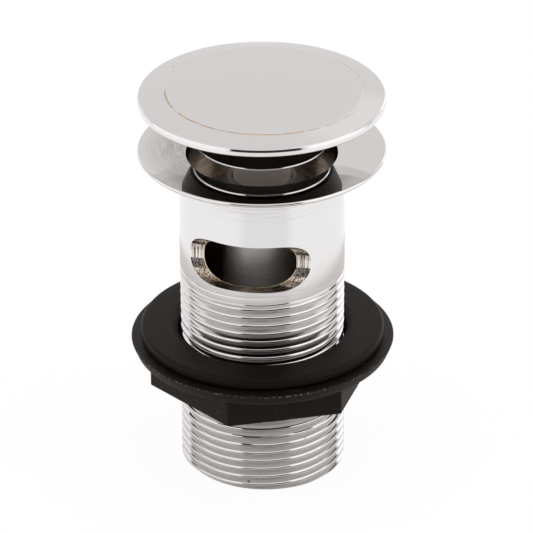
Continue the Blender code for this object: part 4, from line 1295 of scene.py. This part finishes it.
# Each panel has its two azimuths and how soft they are, its share at each height, and its level
for way, left, right, soft_edge, heights, panel_level in (
        (azimuth, -100.0, -34.0, 8.0, up_to(50.0, 75.0), 0.95),
        (azimuth, -108.0, -34.0, 6.0, up_to(18.0, 30.0), 1.15),
        (azimuth, 45.0, 100.0, 8.0, up_to(50.0, 75.0), 1.22),
        (either_side, 110.0, 134.0, 6.0, band(tree, elevation, 44.0, 58.0, 4.0), 0.58),
        (either_side, 125.0, 144.0, 5.0, band(tree, elevation, 34.0, 46.0, 3.0), 0.16),
        (azimuth, 138.0, 156.0, 4.0, up_to(31.0, 35.0), 1.35),
        (azimuth, 160.0, 170.0, 5.0, band(tree, elevation, 28.0, 44.0, 6.0), 0.88),
        (azimuth, -158.0, -138.0, 5.0, up_to(32.0, 36.0), 0.95),
        (azimuth, -27.0, 35.0, 2.0, up_to(60.0, 85.0), front_level)):
    level = toward(tree, level, times(tree, band(tree, way, left, right, soft_edge), heights), panel_level)
level = toward(tree, level, up_to(-0.5, 0.5), 1.0)
background = put(tree, "ShaderNodeBackground", {"Color": (1.0, 0.985, 0.975, 1.0), "Strength": level})
tree.links.new(background.outputs[0], put(tree, "ShaderNodeOutputWorld").inputs["Surface"])
print("world of", len(tree.nodes), "nodes")

# %% Floor
FLOOR_SIZE = 12.0
bpy.ops.mesh.primitive_plane_add(size=FLOOR_SIZE, location=(0, 0, -0.0002))
floor = bpy.context.active_object
floor.name = "floor"
floor_finish = bpy.data.materials.new("white floor")
floor_finish.use_nodes = True
tree = floor_finish.node_tree
tree.nodes.clear()
diffuse = put(tree, "ShaderNodeBsdfDiffuse", {"Color": (0.8, 0.8, 0.8, 1.0)})
light_path = put(tree, "ShaderNodeLightPath")
floor_x, floor_y, _, spread = place_of(tree)
floor_way = times(tree, maths(tree, "ARCTAN2", floor_x, times(tree, floor_y, -1.0)), 180 / math.pi)
# Painted shadow of the piece, seen only in reflections: the floor is greyer and warmer close to the piece.
painted_floor_shadow = stretch(tree, spread, 0.062, 0.076, 0.50, 0.62)
mirrored_floor_painted_shadow = toward(tree, painted_floor_shadow, stretch(tree, spread, 0.121, 0.131), 0.97)
front_share = toward(tree, 1.13, band(tree, floor_way, -20.0, 29.0, 14.0), 0.99)
mirrored_floor_painted_shadow = times(tree, mirrored_floor_painted_shadow, front_share)
table_end = times(tree, stretch(tree, spread, 0.298, 0.302), band(tree, floor_way, -27.0, 35.0, 2.0))
mirrored_floor_painted_shadow = toward(tree, mirrored_floor_painted_shadow, table_end, 0.04)
floor_level = toward(tree, mirrored_floor_painted_shadow, light_path.outputs["Is Camera Ray"], 1.07)
clear_of_painted_shadow = larger(tree, stretch(tree, spread, 0.106, 0.140), light_path.outputs["Is Camera Ray"])
warm_painted_shadow = blend_colour(tree, clear_of_painted_shadow, (1.0, 0.945, 0.915), (1.0, 1.0, 1.0))
glow = put(tree, "ShaderNodeEmission", {"Color": warm_painted_shadow, "Strength": floor_level})
seen_ray = larger(tree, light_path.outputs["Is Camera Ray"], light_path.outputs["Is Glossy Ray"])
seen_ray = larger(tree, seen_ray, light_path.outputs["Is Transmission Ray"])
dark_end = times(tree, table_end, light_path.outputs["Is Glossy Ray"])
glow_share = times(tree, seen_ray, toward(tree, 0.86, dark_end, 1.0))
mixed = put(tree, "ShaderNodeMixShader", {0: glow_share, 1: diffuse.outputs[0], 2: glow.outputs[0]})
tree.links.new(mixed.outputs[0], put(tree, "ShaderNodeOutputMaterial").inputs["Surface"])
floor.data.materials.append(floor_finish)
print("floor of", FLOOR_SIZE, "metres")

# %% [markdown]
# ## Camera
#
# The camera stands about 1.2 m away and looks down at 28 degrees, as a long lens in a product studio
# would. It was fitted to the edges of the round pieces, which are ellipses whose shape depends on it.

# %% Camera
CAMERA_DISTANCE = 1.2139
CAMERA_ELEVATION = math.radians(28.045)
CAMERA_ROLL = math.radians(-0.211)
CAMERA_LENS = 321.43
aim = Vector((1.08 * MM, 0.0, 54.0 * MM))
away = Vector((0.0, -math.cos(CAMERA_ELEVATION), math.sin(CAMERA_ELEVATION)))
camera = bpy.data.objects.new("camera", bpy.data.cameras.new("camera"))
bpy.context.scene.collection.objects.link(camera)
camera.location = aim + away * CAMERA_DISTANCE
turn = (-away).to_track_quat("-Z", "Y").to_matrix().to_4x4() @ Matrix.Rotation(CAMERA_ROLL, 4, "Z")
camera.rotation_euler = turn.to_euler()
camera.data.sensor_width = 36.0
camera.data.lens = CAMERA_LENS
camera.data.clip_start = 0.1
camera.data.clip_end = 20.0
bpy.context.scene.camera = camera
bpy.context.scene.view_settings.view_transform = "Standard"
print("camera at", [round(value, 4) for value in camera.location])
